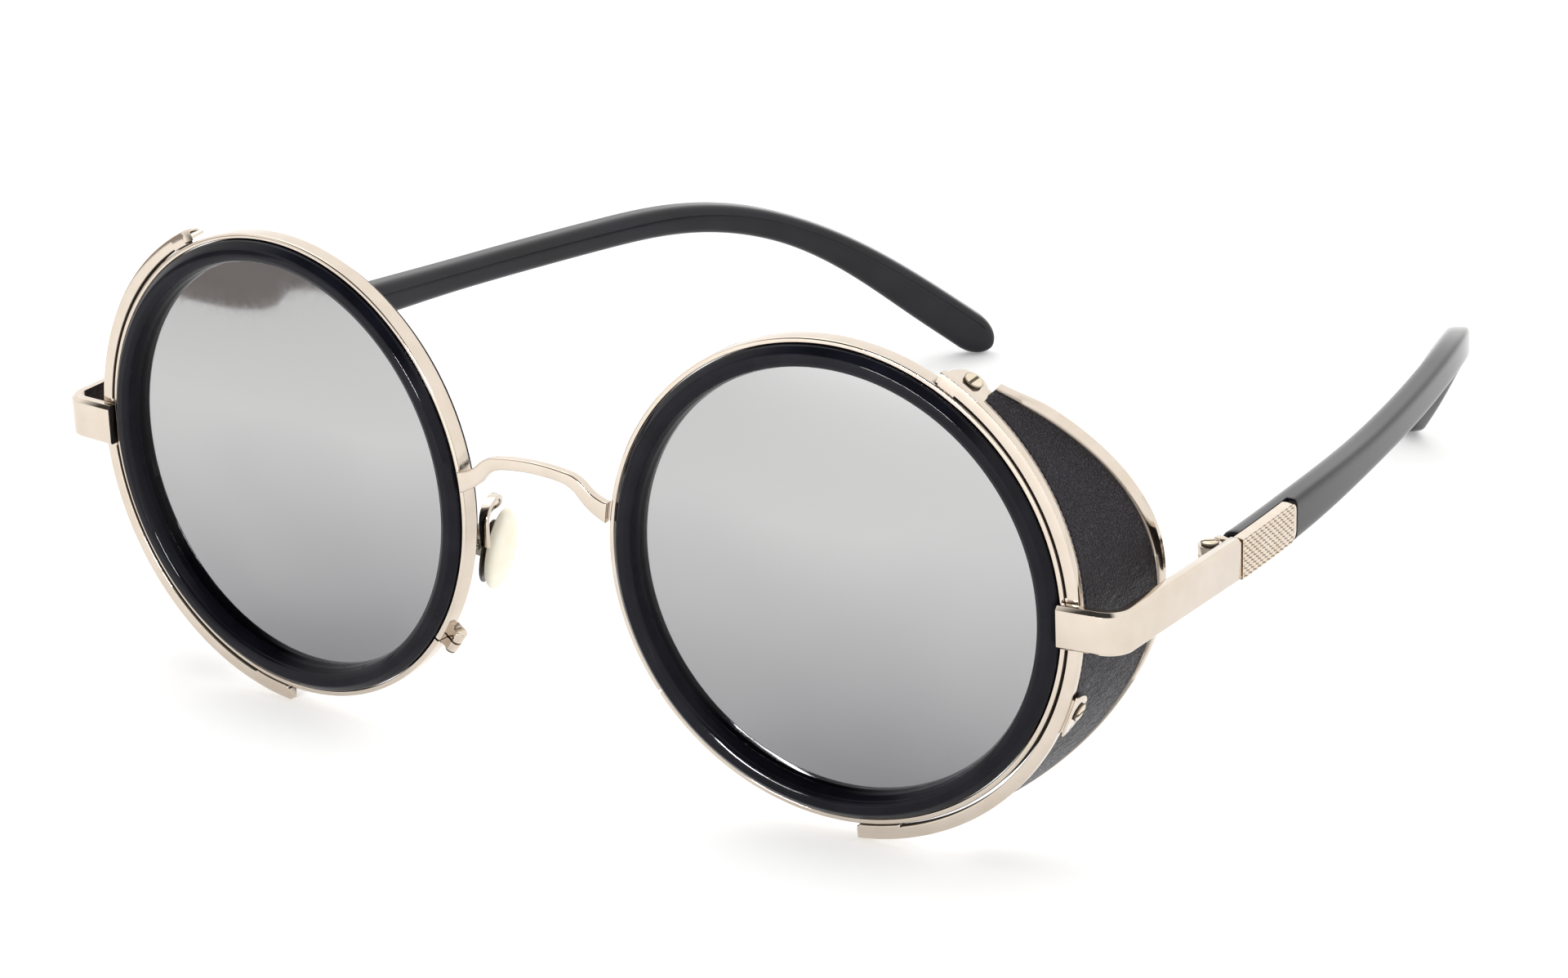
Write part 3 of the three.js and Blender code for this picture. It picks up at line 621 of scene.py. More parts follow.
def make_piece(name, mesh, slot, body, node, matrix, flip=False, sharp=38):
    shape = mesh.copy()
    shape.transform(matrix)
    if flip:
        shape.flip_normals()
    shape.materials.clear()
    shape.materials.append(MATERIALS[slot])
    for face in shape.polygons:
        face.material_index = 0
    shape.shade_smooth()
    shape.set_sharp_from_angle(angle=math.radians(sharp))
    piece = bpy.data.objects.new(name, shape)
    bpy.context.scene.collection.objects.link(piece)
    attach(piece, body)
    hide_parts(node)
    return piece


def both_sides(part, mesh, slot, body="front_frame", sharp=38):
    """One piece for each side; a body written with %s is the side's own."""
    pieces = []
    for side, matrix in (("left", TO_ROW), ("right", TO_ROW @ MIRROR)):
        own_body = body % side if "%s" in body else body
        pieces.append(make_piece(f"{side}_{part}_fine", mesh, slot, own_body, f"{side}_{part}",
                                 matrix, side == "right", sharp))
    return pieces


def slotted_screw(shank, head, height, length):
    """A screw along y with its domed, slotted head towards -y and its top near y = 0."""
    slot_half = head * 0.15
    profile = [(0.001, 0.06), (head * 0.55, 0.03), (head * 0.85, 0.1), (head, height * 0.5),
               (head * 0.97, height), (shank, height), (shank, length), (0.001, length)]
    body = turned(profile, steps=40)
    slot = block((-head * 2, -1, -slot_half), (head * 2, height * 0.55, slot_half))
    screw = bevelled(cut(body, slot), 0.03, 1, 50)

    # Painted shade: the head's rim and the bottom of its slot are darkened.
    def in_gap(r, y, angle):
        return r > head * 0.95 or (y > height * 0.5 and r < head * 0.9)

    painted_shade(screw, in_gap, 0.8)
    return screw


def rim():
    """The eyewire, with the split barrel that the closing screw draws together."""
    section = rounded([(RIM_INNER, 0), (RIM_OUTER, 0, RIM_FRONT_ROUND), (RIM_OUTER, RIM_DEPTH),
                       (RIM_INNER, RIM_DEPTH)], 0.12, 5)
    ring = turned(section, steps=256)
    place = (Matrix.Rotation(-CLOSING_ANGLE, 4, "Y")
             @ Matrix.Translation((CLOSING_RADIUS, CLOSING_Y, 0)))
    half = CLOSING_HALF_LENGTH
    barrel = moved(rod(CLOSING_BARREL, (0, 0, -half), (0, 0, half), 0.2), place)
    web = moved(block((-1.2, -0.7, -half + 0.05), (0, 0.6, half - 0.05)), place)
    split = moved(block((-2, -3, -CLOSING_HALF_GAP), (2, 3, CLOSING_HALF_GAP)), place)
    inside = turned([(20, -1), (RIM_INNER, -1), (RIM_INNER, 4), (20, 4)], steps=256)
    whole = bevelled(cut(joined(ring, barrel, web), inside, split), 0.05, 2, 40)

    # Painted shade on the rim's outer wall, in the slot behind the shield bar.
    def behind_bar(r, y, angle):
        return r > RIM_OUTER - 0.08 and y > 0.22 and BAR_BOTTOM < angle < BAR_TOP

    painted_shade(whole, behind_bar)
    return moved(whole, EYE)


def closing_screw():
    half = CLOSING_HALF_LENGTH
    part = slotted_screw(CLOSING_SHANK, CLOSING_HEAD, 0.35, 2 * half + 0.35)
    place = (EYE @ Matrix.Rotation(-CLOSING_ANGLE, 4, "Y")
             @ Matrix.Translation((CLOSING_RADIUS, CLOSING_Y, half + 0.4))
             @ Matrix.Rotation(-math.pi / 2, 4, "X"))
    return moved(part, place)


def inner_ring():
    """The thick glossy ring: a step down to the lens, a rounded crest and a rear pocket."""
    corners = [
        (RING_OPENING, LENS_SEAT_Y, 0.05), (RING_OPENING + 0.08, 0.25), (RING_OPENING + 0.4, -0.8),
        (25.3, RING_CREST_Y), (26.2, RING_CREST_Y + 0.05), (RING_OUTER, -0.3),
        (RING_OUTER, RING_DEPTH, 0.3), (LENS_POCKET, RING_DEPTH, 0.2),
        (LENS_POCKET, LENS_SEAT_Y, 0.05),
    ]
    return moved(turned(rounded(corners, 0.6, 7), steps=256), EYE)


def lens():
    """A round lens, curved like a shallow dish, with its edge at LENS_EDGE_Y."""

    def bulge(radius):
        return (LENS_RADIUS ** 2 - radius ** 2) / (2 * LENS_SPHERE)

    steps = [LENS_RADIUS * k / 16 for k in range(1, 17)]
    front = [(0.001, LENS_EDGE_Y - bulge(0))] + [(r, LENS_EDGE_Y - bulge(r)) for r in steps]
    back = [(r, y + LENS_THICKNESS) for r, y in reversed(front)]
    return moved(turned(front + back, steps=192), EYE)


def shield_rear(angle):
    """How far back the leather's rear edge lies at an angle round the lens."""
    bow = math.cos(math.pi / 2 * abs(angle - SHIELD_MIDDLE) / SHIELD_BOW_SPAN)
    return SHIELD_END_DEPTH + SHIELD_BOW_DEPTH * max(bow, 0) ** SHIELD_BOW_POWER


def lip_height(angle):
    """The lip swells in its upper part and fades almost flush towards the lower end."""
    rise = smoothstep(52 - angle, 0, 10)
    fall = 1 - smoothstep(14 - angle, 0, 20)
    kept = smoothstep(angle, -30, -4)
    return LIP_LOW_HEIGHT + LIP_HEIGHT * kept + LIP_SWELL * rise * fall


def on_shield(angle, y, depth):
    radius = SHIELD_RADIUS + SHIELD_FLARE * y - depth
    turn = math.radians(angle)
    return Vector((radius * math.cos(turn), y, radius * math.sin(turn)))


def bar_sector(inner, outer, start, end, edge=0.1):
    steps = max(int((end - start) * 1.1), 6)
    section = box_section((inner, 0), (outer, BAR_DEPTH), edge, 3)
    return turned(section, start, end, steps)


def screw_place(spot, lift=0.0):
    """Stands a part built along y on the shield at a screw, with -y looking outward."""
    return (Matrix.Rotation(-math.radians(spot["angle"]), 4, "Y")
            @ Matrix.Translation((spot["radius"] + lift, spot["y"], 0))
            @ Matrix.Rotation(math.pi / 2, 4, "Z"))


def shield_bar():
    """The flat arc outside the rim, joined to it at three lands, with its two lugs."""
    root = RIM_OUTER + 0.1
    bar = bar_sector(BAR_INNER, BAR_OUTER, BAR_BOTTOM, BAR_TOP, 0.14)
    lands = [bar_sector(root, BAR_INNER + 0.5, SLOT_TOP, BAR_TOP - 0.6),
             bar_sector(root, BAR_INNER + 0.5, -SLOT_MIDDLE, SLOT_MIDDLE),
             bar_sector(root, BAR_INNER + 0.5, BAR_BOTTOM + 0.6, SLOT_BOTTOM)]
    lugs = [shield_lug(UPPER_SCREW), shield_lug(LOWER_SCREW)]
    whole = bevelled(joined(bar, *lands, *lugs), 0.05, 2, 45)
    # Painted shade on the bar's inner wall, facing the slot to the rim.
    painted_shade(whole, lambda r, y, angle: r < BAR_INNER + 0.08 and y > 0.12)
    return moved(whole, EYE)


def shield_lug(spot):
    """A leaf-shaped ear that runs back from the bar over the leather, with its foot."""
    reach = spot["y"] - BAR_DEPTH + LUG_OVERLAP
    outline = []
    for i in range(33):
        angle = math.pi * i / 32
        outline.append((LUG_HALF_LENGTH * math.cos(angle),
                        (reach + LUG_RADIUS) * math.sin(angle) - reach))
    verts = []
    for depth in (0, -LUG_THICKNESS):
        verts += [Vector((a, depth, b)) for a, b in outline]
    count = len(outline)
    faces = [tuple(range(count)), tuple(range(2 * count - 1, count - 1, -1))]
    for i in range(count):
        j = (i + 1) % count
        faces.append((i, j, count + j, count + i))
    sheet = bevelled(mesh_of(verts, faces), 0.08, 2, 40)
    foot = block((-LUG_FOOT_HALF, -LUG_THICKNESS, -reach), (LUG_FOOT_HALF, 0.5, 0.3 - reach))
    stand = screw_place(spot) @ Matrix.Rotation(math.pi / 2, 4, "Y")
    return moved(joined(sheet, foot), stand)


def shield_band(columns, rows, rule):
    """A closed strip: rule(angle, part, face) gives a point, face 0 outside and 1 inside."""
    loops = []
    for i in range(columns + 1):
        angle = SHIELD_BOTTOM + (SHIELD_TOP - SHIELD_BOTTOM) * i / columns
        loops.append([rule(angle, k / rows, 0) for k in range(rows + 1)]
                     + [rule(angle, 1 - k / rows, 1) for k in range(rows + 1)])
    return skin(loops)


def shield_shell():
    """The metal sheet under the leather, with its rear lip, serrated hem and screw tab."""

    def sheet(angle, part, face):
        rear = shield_rear(angle) + LIP_GAP + LIP_THICKNESS
        y = SHIELD_FRONT_Y + (rear - SHIELD_FRONT_Y) * part
        return on_shield(angle, y, SHELL_DEPTH + SHELL_THICKNESS * face)

    def lip(angle, part, face):
        depth = SHELL_ROOT + (-lip_height(angle) - SHELL_ROOT) * part
        y = shield_rear(angle) + LIP_GAP + LIP_THICKNESS * face + LIP_LEAN * max(-depth, 0)
        return on_shield(angle, y, depth)

    def hem(angle, part, face):
        teeth = 0.03 * math.sin(angle * 4.3) + 0.02 * math.sin(angle * 9.7 + 1)
        depth = SHELL_ROOT + (-HEM_HEIGHT - teeth - SHELL_ROOT) * part
        return on_shield(angle, SHIELD_FRONT_Y + HEM_WIDTH * face, depth)

    whole = joined(shield_band(160, 24, sheet), shield_band(160, 6, lip), shield_band(400, 3, hem))
    whole = joined(bevelled(whole, 0.06, 2, 50), shell_tab())

    # Painted shade along the serrated hem and in the crease where the leather meets the lip.
    def in_crease(r, y, angle):
        proud = r - SHIELD_RADIUS - SHIELD_FLARE * y
        on_hem = proud > -0.3 and y < SHIELD_FRONT_Y + 0.4 and angle < SHIELD_TOP + 0.5
        return on_hem or (abs(proud) < 0.12 and y > shield_rear(angle) - 0.2)

    painted_shade(whole, in_crease, 0.5)
    return moved(whole, EYE)


def shell_tab():
    """The folded corner that runs on under the upper screw."""
    start = SHIELD_TOP - 1
    steps = 12
    loops = []
    for i in range(steps + 1):
        angle = start + (TAB_TOP - start) * i / steps
        rear = TAB_REAR_Y - 0.6 * smoothstep(angle, TAB_TOP - 2.5, TAB_TOP)
        corners = box_corners((SHIELD_FRONT_Y, SHELL_DEPTH), (rear, SHELL_DEPTH + SHELL_THICKNESS))
        loops.append([on_shield(angle, y, depth) for y, depth in corners])
    return skin(loops)


def leather_point(angle, part, face):
    """Cut edges are drawn in, the field is slightly crowned and gently creased."""
    rear = shield_rear(angle) - 0.02
    y = LEATHER_FRONT_Y + (rear - LEATHER_FRONT_Y) * part
    edge = min(part, 1 - part) * (rear - LEATHER_FRONT_Y)
    ends = min(angle - SHIELD_BOTTOM, SHIELD_TOP - angle) * 0.5
    crown = smoothstep(min(edge, ends), 0, LEATHER_TURN)
    if face:
        return on_shield(angle, y, LEATHER_THICKNESS - 0.03)
    spot = on_shield(angle, y, 0)
    crease = noise.noise(Vector((spot.x * 0.5, spot.y * 0.22, spot.z * 0.5)))
    depth = LEATHER_SINK - LEATHER_CROWN * crown + LEATHER_CREASE * crease * crown
    return on_shield(angle, y, depth)


def shield_leather():
    hole = moved(rod(SCREW_HOLE, (0, -2, 0), (0, 2, 0)), screw_place(LOWER_SCREW))
    return moved(cut(shield_band(220, 60, leather_point), hole), EYE)


def shield_screw(spot):
    part = slotted_screw(SCREW_SHANK, SCREW_HEAD, 0.35, SCREW_LENGTH)
    return moved(part, EYE @ screw_place(spot, LUG_THICKNESS + 0.4))


def endpiece():
    """A chamfered strip that runs out from the rim, round one bend and back to the joint."""
    half = STRIP_HEIGHT / 2
    section = rounded([(0, half - STRIP_CHAMFER), (STRIP_CHAMFER, half),
                       (STRIP_THICKNESS, half), (STRIP_THICKNESS, -half),
                       (STRIP_LOW_CHAMFER, -half), (0, -half + STRIP_LOW_CHAMFER)], 0.07, 3)
    corner = Vector((STRIP_OUTER_X - STRIP_BEND, STRIP_FRONT_Y + STRIP_BEND, 0))
    corner_y = corner.x * math.sin(FACE_WRAP) + corner.y * math.cos(FACE_WRAP)
    run = JOINT_Y - PLATE_GAP - corner_y
    spots = [(Vector((STRIP_INNER_X, STRIP_FRONT_Y, 0)), Vector((0, 1, 0)))]
    sweep = math.pi / 2 - FACE_WRAP
    steps = 32
    for i in range(steps + 1):
        angle = -math.pi / 2 + sweep * i / steps
        out = Vector((math.cos(angle), math.sin(angle), 0))
        spots.append((corner + out * STRIP_BEND, -out))
    last, inward = spots[-1]
    back = Vector((math.sin(FACE_WRAP), math.cos(FACE_WRAP), 0))
    spots.append((last + back * run, inward))
    up = Vector((0, 0, 1))
    path = [(place + up * STRIP_Z, inward, up) for place, inward in spots]
    return moved(bevelled(swept(path, section), 0.06, 2, 60), EYE)


def strip_inside():
    """Where the inner face of the strip's rear run stands, in x."""
    corner_x = STRIP_OUTER_X - STRIP_BEND
    corner_y = STRIP_FRONT_Y + STRIP_BEND
    middle = LENS_SPACING / 2 + corner_x * math.cos(FACE_WRAP) - corner_y * math.sin(FACE_WRAP)
    return middle + STRIP_BEND - STRIP_THICKNESS


def hinge_post(radius, low, high, edge=0.0):
    return rod(radius, (HINGE_X, HINGE_Y, low), (HINGE_X, HINGE_Y, high), edge)


def hinge_front():
    """The endpiece's leaf with its barrel, open in the middle for the temple's tongue."""
    low, high = STRIP_Z - HINGE_HALF_HEIGHT, STRIP_Z + HINGE_HALF_HEIGHT
    leaf_x = strip_inside() - HINGE_GAP
    leaf = block((leaf_x - HINGE_LEAF_THICKNESS, HINGE_LEAF_START, low),
                 (leaf_x, HINGE_Y + 1, high))
    neck = block((HINGE_X, HINGE_Y - KNUCKLE_RADIUS, low), (leaf_x, HINGE_Y + 0.6, high))
    barrel = hinge_post(KNUCKLE_RADIUS, low, high, 0.02)
    room = TONGUE_HALF_HEIGHT + HINGE_GAP
    gap = hinge_post(KNUCKLE_RADIUS + 0.25, STRIP_Z - room, STRIP_Z + room, 0.01)
    bore = hinge_post(HINGE_SCREW_RADIUS + 0.1, low - 1, high + 1, 0.01)
    return bevelled(cut(joined(leaf, neck, barrel), gap, bore), 0.08, 2, 40)


def hinge_screw():
    part = slotted_screw(HINGE_SCREW_RADIUS, 1, 0.4, 2 * HINGE_HALF_HEIGHT + 0.6)
    place = (Matrix.Translation((HINGE_X, HINGE_Y, STRIP_Z + HINGE_HALF_HEIGHT + 0.45))
             @ Matrix.Rotation(math.radians(35), 4, "Z") @ Matrix.Rotation(-math.pi / 2, 4, "X"))
    return moved(part, place)


def hinge_tongue():
    """The temple's middle knuckle, on an arm from a heel behind the joint."""
    low, high = STRIP_Z - TONGUE_HALF_HEIGHT, STRIP_Z + TONGUE_HALF_HEIGHT
    barrel = hinge_post(KNUCKLE_RADIUS, low, high, 0.02)
    arm = block((TONGUE_LOW_X, HINGE_Y, low), (TONGUE_HIGH_X, TONGUE_REAR_Y, high))
    heel = block((TONGUE_LOW_X, JOINT_Y + 0.35, STRIP_Z - HINGE_HALF_HEIGHT),
                 (TONGUE_HIGH_X, TONGUE_REAR_Y, STRIP_Z + HINGE_HALF_HEIGHT))
    bore = hinge_post(HINGE_SCREW_RADIUS + 0.1, low - 1, high + 1, 0.01)
    return bevelled(cut(joined(barrel, arm, heel), bore), 0.06, 2, 40)


def temple_frames():
    """Frames of (place, across axis, up axis) at even steps along the temple."""
    place = TEMPLE_START.copy()
    frames = []
    for i in range(TEMPLE_STEPS + 1):
        s = i * TEMPLE_LENGTH / TEMPLE_STEPS
        bent = smoothstep(s, BEND_START, BEND_END)
        drop = PANTO + EAR_BEND * bent
        toe = TOE_IN + INWARD_CURVE * s + EAR_TWIST * bent
        along = Vector((-math.sin(toe) * math.cos(drop), math.cos(toe) * math.cos(drop),
                        -math.sin(drop)))
        side = Vector((math.cos(toe), math.sin(toe), 0))
        frames.append((place.copy(), side, side.cross(along)))
        place += along * (TEMPLE_LENGTH / TEMPLE_STEPS)
    return frames


TEMPLE_FRAMES = temple_frames()


def on_temple(s, across, up):
    step = min(max(s / TEMPLE_LENGTH, 0), 1 - 1e-9) * TEMPLE_STEPS
    low, part = int(step), step % 1
    ends = zip(TEMPLE_FRAMES[low], TEMPLE_FRAMES[low + 1])
    place, side, rise = (a.lerp(b, part) for a, b in ends)
    return place + side * across + rise * up


def arm_half_height(s):
    """The arm narrows behind the plate and deepens again towards the ear."""
    narrowing = ARM_NARROWING * smoothstep(s, PLATE_LENGTH, ARM_NARROWEST)
    return ARM_HALF_HEIGHT - narrowing + EAR_DEEPENING * smoothstep(s, EAR_DEEP_START, EAR_DEEP_END)


def inner_half(s):
    thinning = smoothstep(s, 0, TEMPLE_LENGTH * 0.6)
    return INNER_HALF_FRONT + (INNER_HALF_REAR - INNER_HALF_FRONT) * thinning


def arm_loop(s, scale, points=88):
    """A squarish section with a crisp outer side and a rounder inner side."""
    loop = []
    for k in range(points):
        turn = 2 * math.pi * k / points
        x, z = math.cos(turn), math.sin(turn)
        power = ARM_SQUARENESS if x > 0 else ARM_INNER_SQUARENESS
        grow = (abs(x) ** power + abs(z) ** power) ** (-1 / power)
        across = x * grow * (OUTER_HALF if x > 0 else inner_half(s)) * (0.4 + 0.6 * scale)
        loop.append(on_temple(s, across, z * grow * arm_half_height(s) * scale))
    return loop


def temple_arm():
    """The arm with its rounded front and ear ends, and the room cut for the knurled plate."""
    body_start = ARM_START + ARM_FRONT_ROUND
    body_end = TEMPLE_LENGTH - ARM_TIP
    loops = []
    for k in range(4):
        turn = math.pi / 2 * k / 4
        loops.append(arm_loop(ARM_START + ARM_FRONT_ROUND * (1 - math.cos(turn)),
                              0.86 + 0.14 * math.sin(turn)))
    body_steps = 240
    for k in range(body_steps + 1):
        loops.append(arm_loop(body_start + (body_end - body_start) * k / body_steps, 1))
    for k in range(1, 15):
        turn = 1.5 * k / 14
        loops.append(arm_loop(body_end + ARM_TIP * math.sin(turn), math.cos(turn)))
    return bevelled(cut(skin(loops), plate_room()), 0.16, 3, 50)


def plate_room():
    """The space that the knurled plate takes out of the arm's outer side."""
    inside = OUTER_HALF - PLATE_THICKNESS - PLATE_GAP
    past = 4
    corners = box_corners((inside, -past), (past, past))
    ahead = Vector((0, -1, 0))
    loops = [[on_temple(0, a, b) + ahead for a, b in corners]]
    for s in [k * 0.5 for k in range(29)] + [PLATE_LENGTH + PLATE_GAP]:
        loops.append([on_temple(s, a, b) for a, b in corners])
    return skin(loops)


def knurl(s, up):
    """Height of the staggered, rounded knurls at a place on the plate's face."""
    pitch_s = PLATE_LENGTH / KNURL_COLUMNS
    pitch_up = (STRIP_HEIGHT - 1.0) / KNURL_ROWS
    row = math.floor(up / pitch_up)
    shift = 0.5 * (row % 2)
    a = (s / pitch_s + shift) % 1 - 0.5
    b = up / pitch_up - row - 0.5
    round_top = 1 - (a / 0.47) ** 2 - (b / 0.5) ** 2
    return KNURL_HEIGHT * math.sqrt(max(round_top, 0))


def knurled_plate():
    """The knurled bar: a narrow edge frames the pattern, whose recesses get painted shade."""
    half = STRIP_HEIGHT / 2
    inside = OUTER_HALF - PLATE_THICKNESS
    shoulder = inside + PLATE_SHOULDER
    outside = OUTER_HALF - KNURL_HEIGHT
    middle = KNURL_HEIGHT * 0.5
    rows = 90
    columns = 210
    loops = []
    marks = []
    for i in range(columns + 1):
        s = PLATE_LENGTH * i / columns
        past = max((s - PLATE_LENGTH + PLATE_REAR_ROUND) / PLATE_REAR_ROUND, 0)
        corner = half - PLATE_REAR_DROP * (1 - math.sqrt(max(1 - past ** 2, 0)))
        ends = smoothstep(s, 0.1, 0.3) * smoothstep(PLATE_LENGTH - s, 0.3, 0.5)
        top = corner - PLATE_EDGE
        loop = [(inside, -corner), (shoulder, -corner)]
        marks += [0, 0]
        for k in range(rows + 1):
            up = top * (2 * k / rows - 1)
            framed = ends * smoothstep(top - abs(up), 0, 0.05)
            height = knurl(s, up) * framed + KNURL_HEIGHT * 0.8 * (1 - framed)
            loop.append((outside + height, up))
            # Painted shade: the lower the surface between the knurls, the darker it is marked.
            marks.append(KNURL_PAINTED_SHADE * framed * smoothstep(middle - height, 0, middle))
        loop += [(shoulder, corner), (inside, corner)]
        marks += [0, 0]
        loops.append([on_temple(s, a, b) for a, b in loop])
    mesh = skin(loops)
    mesh.attributes.new("painted_shade", "FLOAT", "POINT").data.foreach_set("value", marks)
    return mesh


def nose_pad():
    """An oval cushion, a little narrower at the top and hollowed towards the nose."""
    rows = []
    count = 28
    sides = 48
    for i in range(1, count):
        polar = math.pi * i / count
        z = -math.cos(polar)
        girth = math.sin(polar)
        taper = 1 - PAD_TAPER * z
        loop = []
        for k in range(sides):
            turn = 2 * math.pi * k / sides
            x, y = math.cos(turn) * girth, math.sin(turn) * girth
            flat = math.copysign(abs(x) ** 0.8, x)
            loop.append(Vector((flat * PAD_HALF.x - PAD_HOLLOW * (1 - z * z) * (1 - y * y),
                                y * PAD_HALF.y * taper, z * PAD_HALF.z)))
        rows.append(loop)
    return moved(modified(skin(rows), ("SUBSURF", {"levels": 1})), PAD)


def oval(half_y, half_z, x_low, x_high, edge, steps=64):
    """An elliptical disc that faces along x, with its two rims chamfered."""
    rows = []
    for x, inset in ((x_low, edge), (x_low + edge, 0), (x_high - edge, 0), (x_high, edge)):
        rows.append([Vector((x, (half_y - inset) * math.cos(t), (half_z - inset) * math.sin(t)))
                     for t in (2 * math.pi * i / steps for i in range(steps))])
    return skin(rows)


def pad_bore():
    return rod(PAD_BORE, (PAD_HINGE_X, -2, 0), (PAD_HINGE_X, 2, 0), 0.01, 24)


def pad_backplate():
    """A metal plate moulded in the pad's back, with the tab that the pad screw holds."""
    low = PAD_PLATE_X - PAD_PLATE_THICKNESS / 2
    plate = oval(PAD_PLATE_HALF_WIDTH, PAD_PLATE_HALF_HEIGHT, low, low + PAD_PLATE_THICKNESS, 0.06)
    moved(plate, Matrix.Translation((0, 0, PAD_PLATE_HALF_HEIGHT - PAD_HALF.z + 0.2)))
    tab = block((PAD_PLATE_X, -PAD_TAB_HALF_WIDTH, -PAD_TAB_HALF_HEIGHT),
                (PAD_PLATE_X + PAD_TAB_LENGTH, PAD_TAB_HALF_WIDTH, PAD_TAB_HALF_HEIGHT))
    return moved(bevelled(cut(joined(plate, tab), pad_bore()), 0.05, 2, 40), PAD)


def pad_box():
    """A small metal channel, open towards the pad, at the end of the pad arm."""
    body = block((PAD_BOX_X, -PAD_BOX_HALF_WIDTH, -PAD_BOX_HALF_HEIGHT),
                 (PAD_BOX_X + PAD_BOX_DEPTH, PAD_BOX_HALF_WIDTH, PAD_BOX_HALF_HEIGHT))
    slot = block((PAD_BOX_X - 1, -PAD_BOX_HALF_SLOT, -3),
                 (PAD_BOX_X + PAD_BOX_DEPTH - PAD_BOX_WALL, PAD_BOX_HALF_SLOT, 3))
    return moved(bevelled(cut(body, slot, pad_bore()), 0.12, 3, 40), PAD)


def pad_screw():
    part = slotted_screw(0.3, 0.6, 0.25, 2.6)
    return moved(part, PAD @ Matrix.Translation((PAD_HINGE_X, -1.4, 0)))


def pad_arm():
    """A flat strip bent over the top of the pad, turning edgewise towards its box."""
    wide, thick = PAD_ARM_HALF_WIDTH, PAD_ARM_HALF_THICKNESS
    section = box_section((-wide, -thick), (wide, thick), 0.12, 4)
    count = 96
    frames = []
    centres = [frame[0] for frame in wire_path(PAD_ARM_ROUTE, count)]
    for i, place in enumerate(centres):
        along = (centres[min(i + 1, count)] - centres[max(i - 1, 0)]).normalized()
        turn = smoothstep(i / count, 0.4, 1) * math.pi / 2
        side = Vector((math.cos(turn), math.sin(turn), 0))
        side = (side - along * side.dot(along)).normalized()
        frames.append((place, side, side.cross(along)))
    return bevelled(swept(frames, section), 0.08, 2, 60)


def bridge():
    """A flat strip that climbs in an arch from rim to rim, trimmed by the two rims."""
    lower = mirrored([(-BRIDGE_END_X, 2.5), (-8, 3.4), (-6.4, 5.2), (-5.4, 6.4), (-4, 6.6)], 7.2)
    upper = mirrored([(-BRIDGE_END_X, 5.2), (-8.8, 5.3), (-7.4, 6.6), (-6.2, 7.8), (-4.6, 7.9)], 8.6)
    loops = []
    for low, high in zip(curve_of(lower), curve_of(upper)):
        loop = []
        for depth, z in box_section((0, low.y), (1, high.y), 0.2, 4):
            x = low.x + (high.x - low.x) * (z - low.y) / (high.y - low.y)
            loop.append(Vector((x, BRIDGE_FRONT_Y + BRIDGE_THICKNESS * depth, z)))
        loops.append(loop)
    eye_hole = rod(RIM_OUTER + BRIDGE_RIM_GAP, (0, -10, 0), (0, 10, 0), 0.01, 192)
    left = moved(eye_hole.copy(), EYE)
    right = moved(eye_hole.copy(), MIRROR @ EYE @ MIRROR)
    return bevelled(cut(skin(loops), left, right), 0.08, 2, 45)


def mirrored(half, middle_z):
    """An outline's left half, its middle point and the half's mirror image."""
    return half + [(0, middle_z)] + [(-x, z) for x, z in reversed(half)]


def curve_of(points, steps=14):
    """Points along quadratic arcs: end, control, end, control, end."""
    spots = [Vector(p) for p in points]
    line = [spots[0]]
    for i in range(0, len(spots) - 2, 2):
        a, b, c = spots[i:i + 3]
        for k in range(1, steps + 1):
            t = k / steps
            line.append(a * (1 - t) ** 2 + b * 2 * t * (1 - t) + c * t * t)
    return line


both_sides("rim", rim(), "polished_gold")
both_sides("closing_screw", closing_screw(), "screw_gold")
both_sides("inner_ring", inner_ring(), "gloss_black_acetate")
both_sides("lens", lens(), "mirror_lens")
both_sides("shield_bar", shield_bar(), "polished_gold")
both_sides("shield_shell", shield_shell(), "polished_gold")
hides = both_sides("shield_leather", shield_leather(), "black_leather")
both_sides("shield_screw_upper", shield_screw(UPPER_SCREW), "screw_gold")
both_sides("shield_screw_lower", shield_screw(LOWER_SCREW), "screw_gold")
both_sides("endpiece", endpiece(), "polished_gold")
both_sides("hinge_front", hinge_front(), "polished_gold")
both_sides("hinge_screw", hinge_screw(), "screw_gold")
both_sides("hinge_tongue", hinge_tongue(), "polished_gold", "%s_temple")
both_sides("knurled_plate", knurled_plate(), "knurled_gold", "%s_temple", 60)
both_sides("temple_arm", temple_arm(), "gloss_black_temple", "%s_temple")
both_sides("pad_arm", pad_arm(), "polished_gold")
both_sides("pad_box", pad_box(), "polished_gold")
both_sides("pad_screw", pad_screw(), "screw_gold")
both_sides("pad_backplate", pad_backplate(), "core_steel", "%s_nose_pad")
pads = both_sides("nose_pad", nose_pad(), "cream_silicone", "%s_nose_pad")
make_piece("bridge_fine", bridge(), "polished_gold", "front_frame", "bridge", TO_ROW)

for side in ("left", "right"):
    core = bpy.data.objects[f"{side}_temple_core"]
    core.data.materials.clear()
    core.data.materials.append(MATERIALS["core_steel"])


# ---------------------------------------------------------------- floor, light and camera

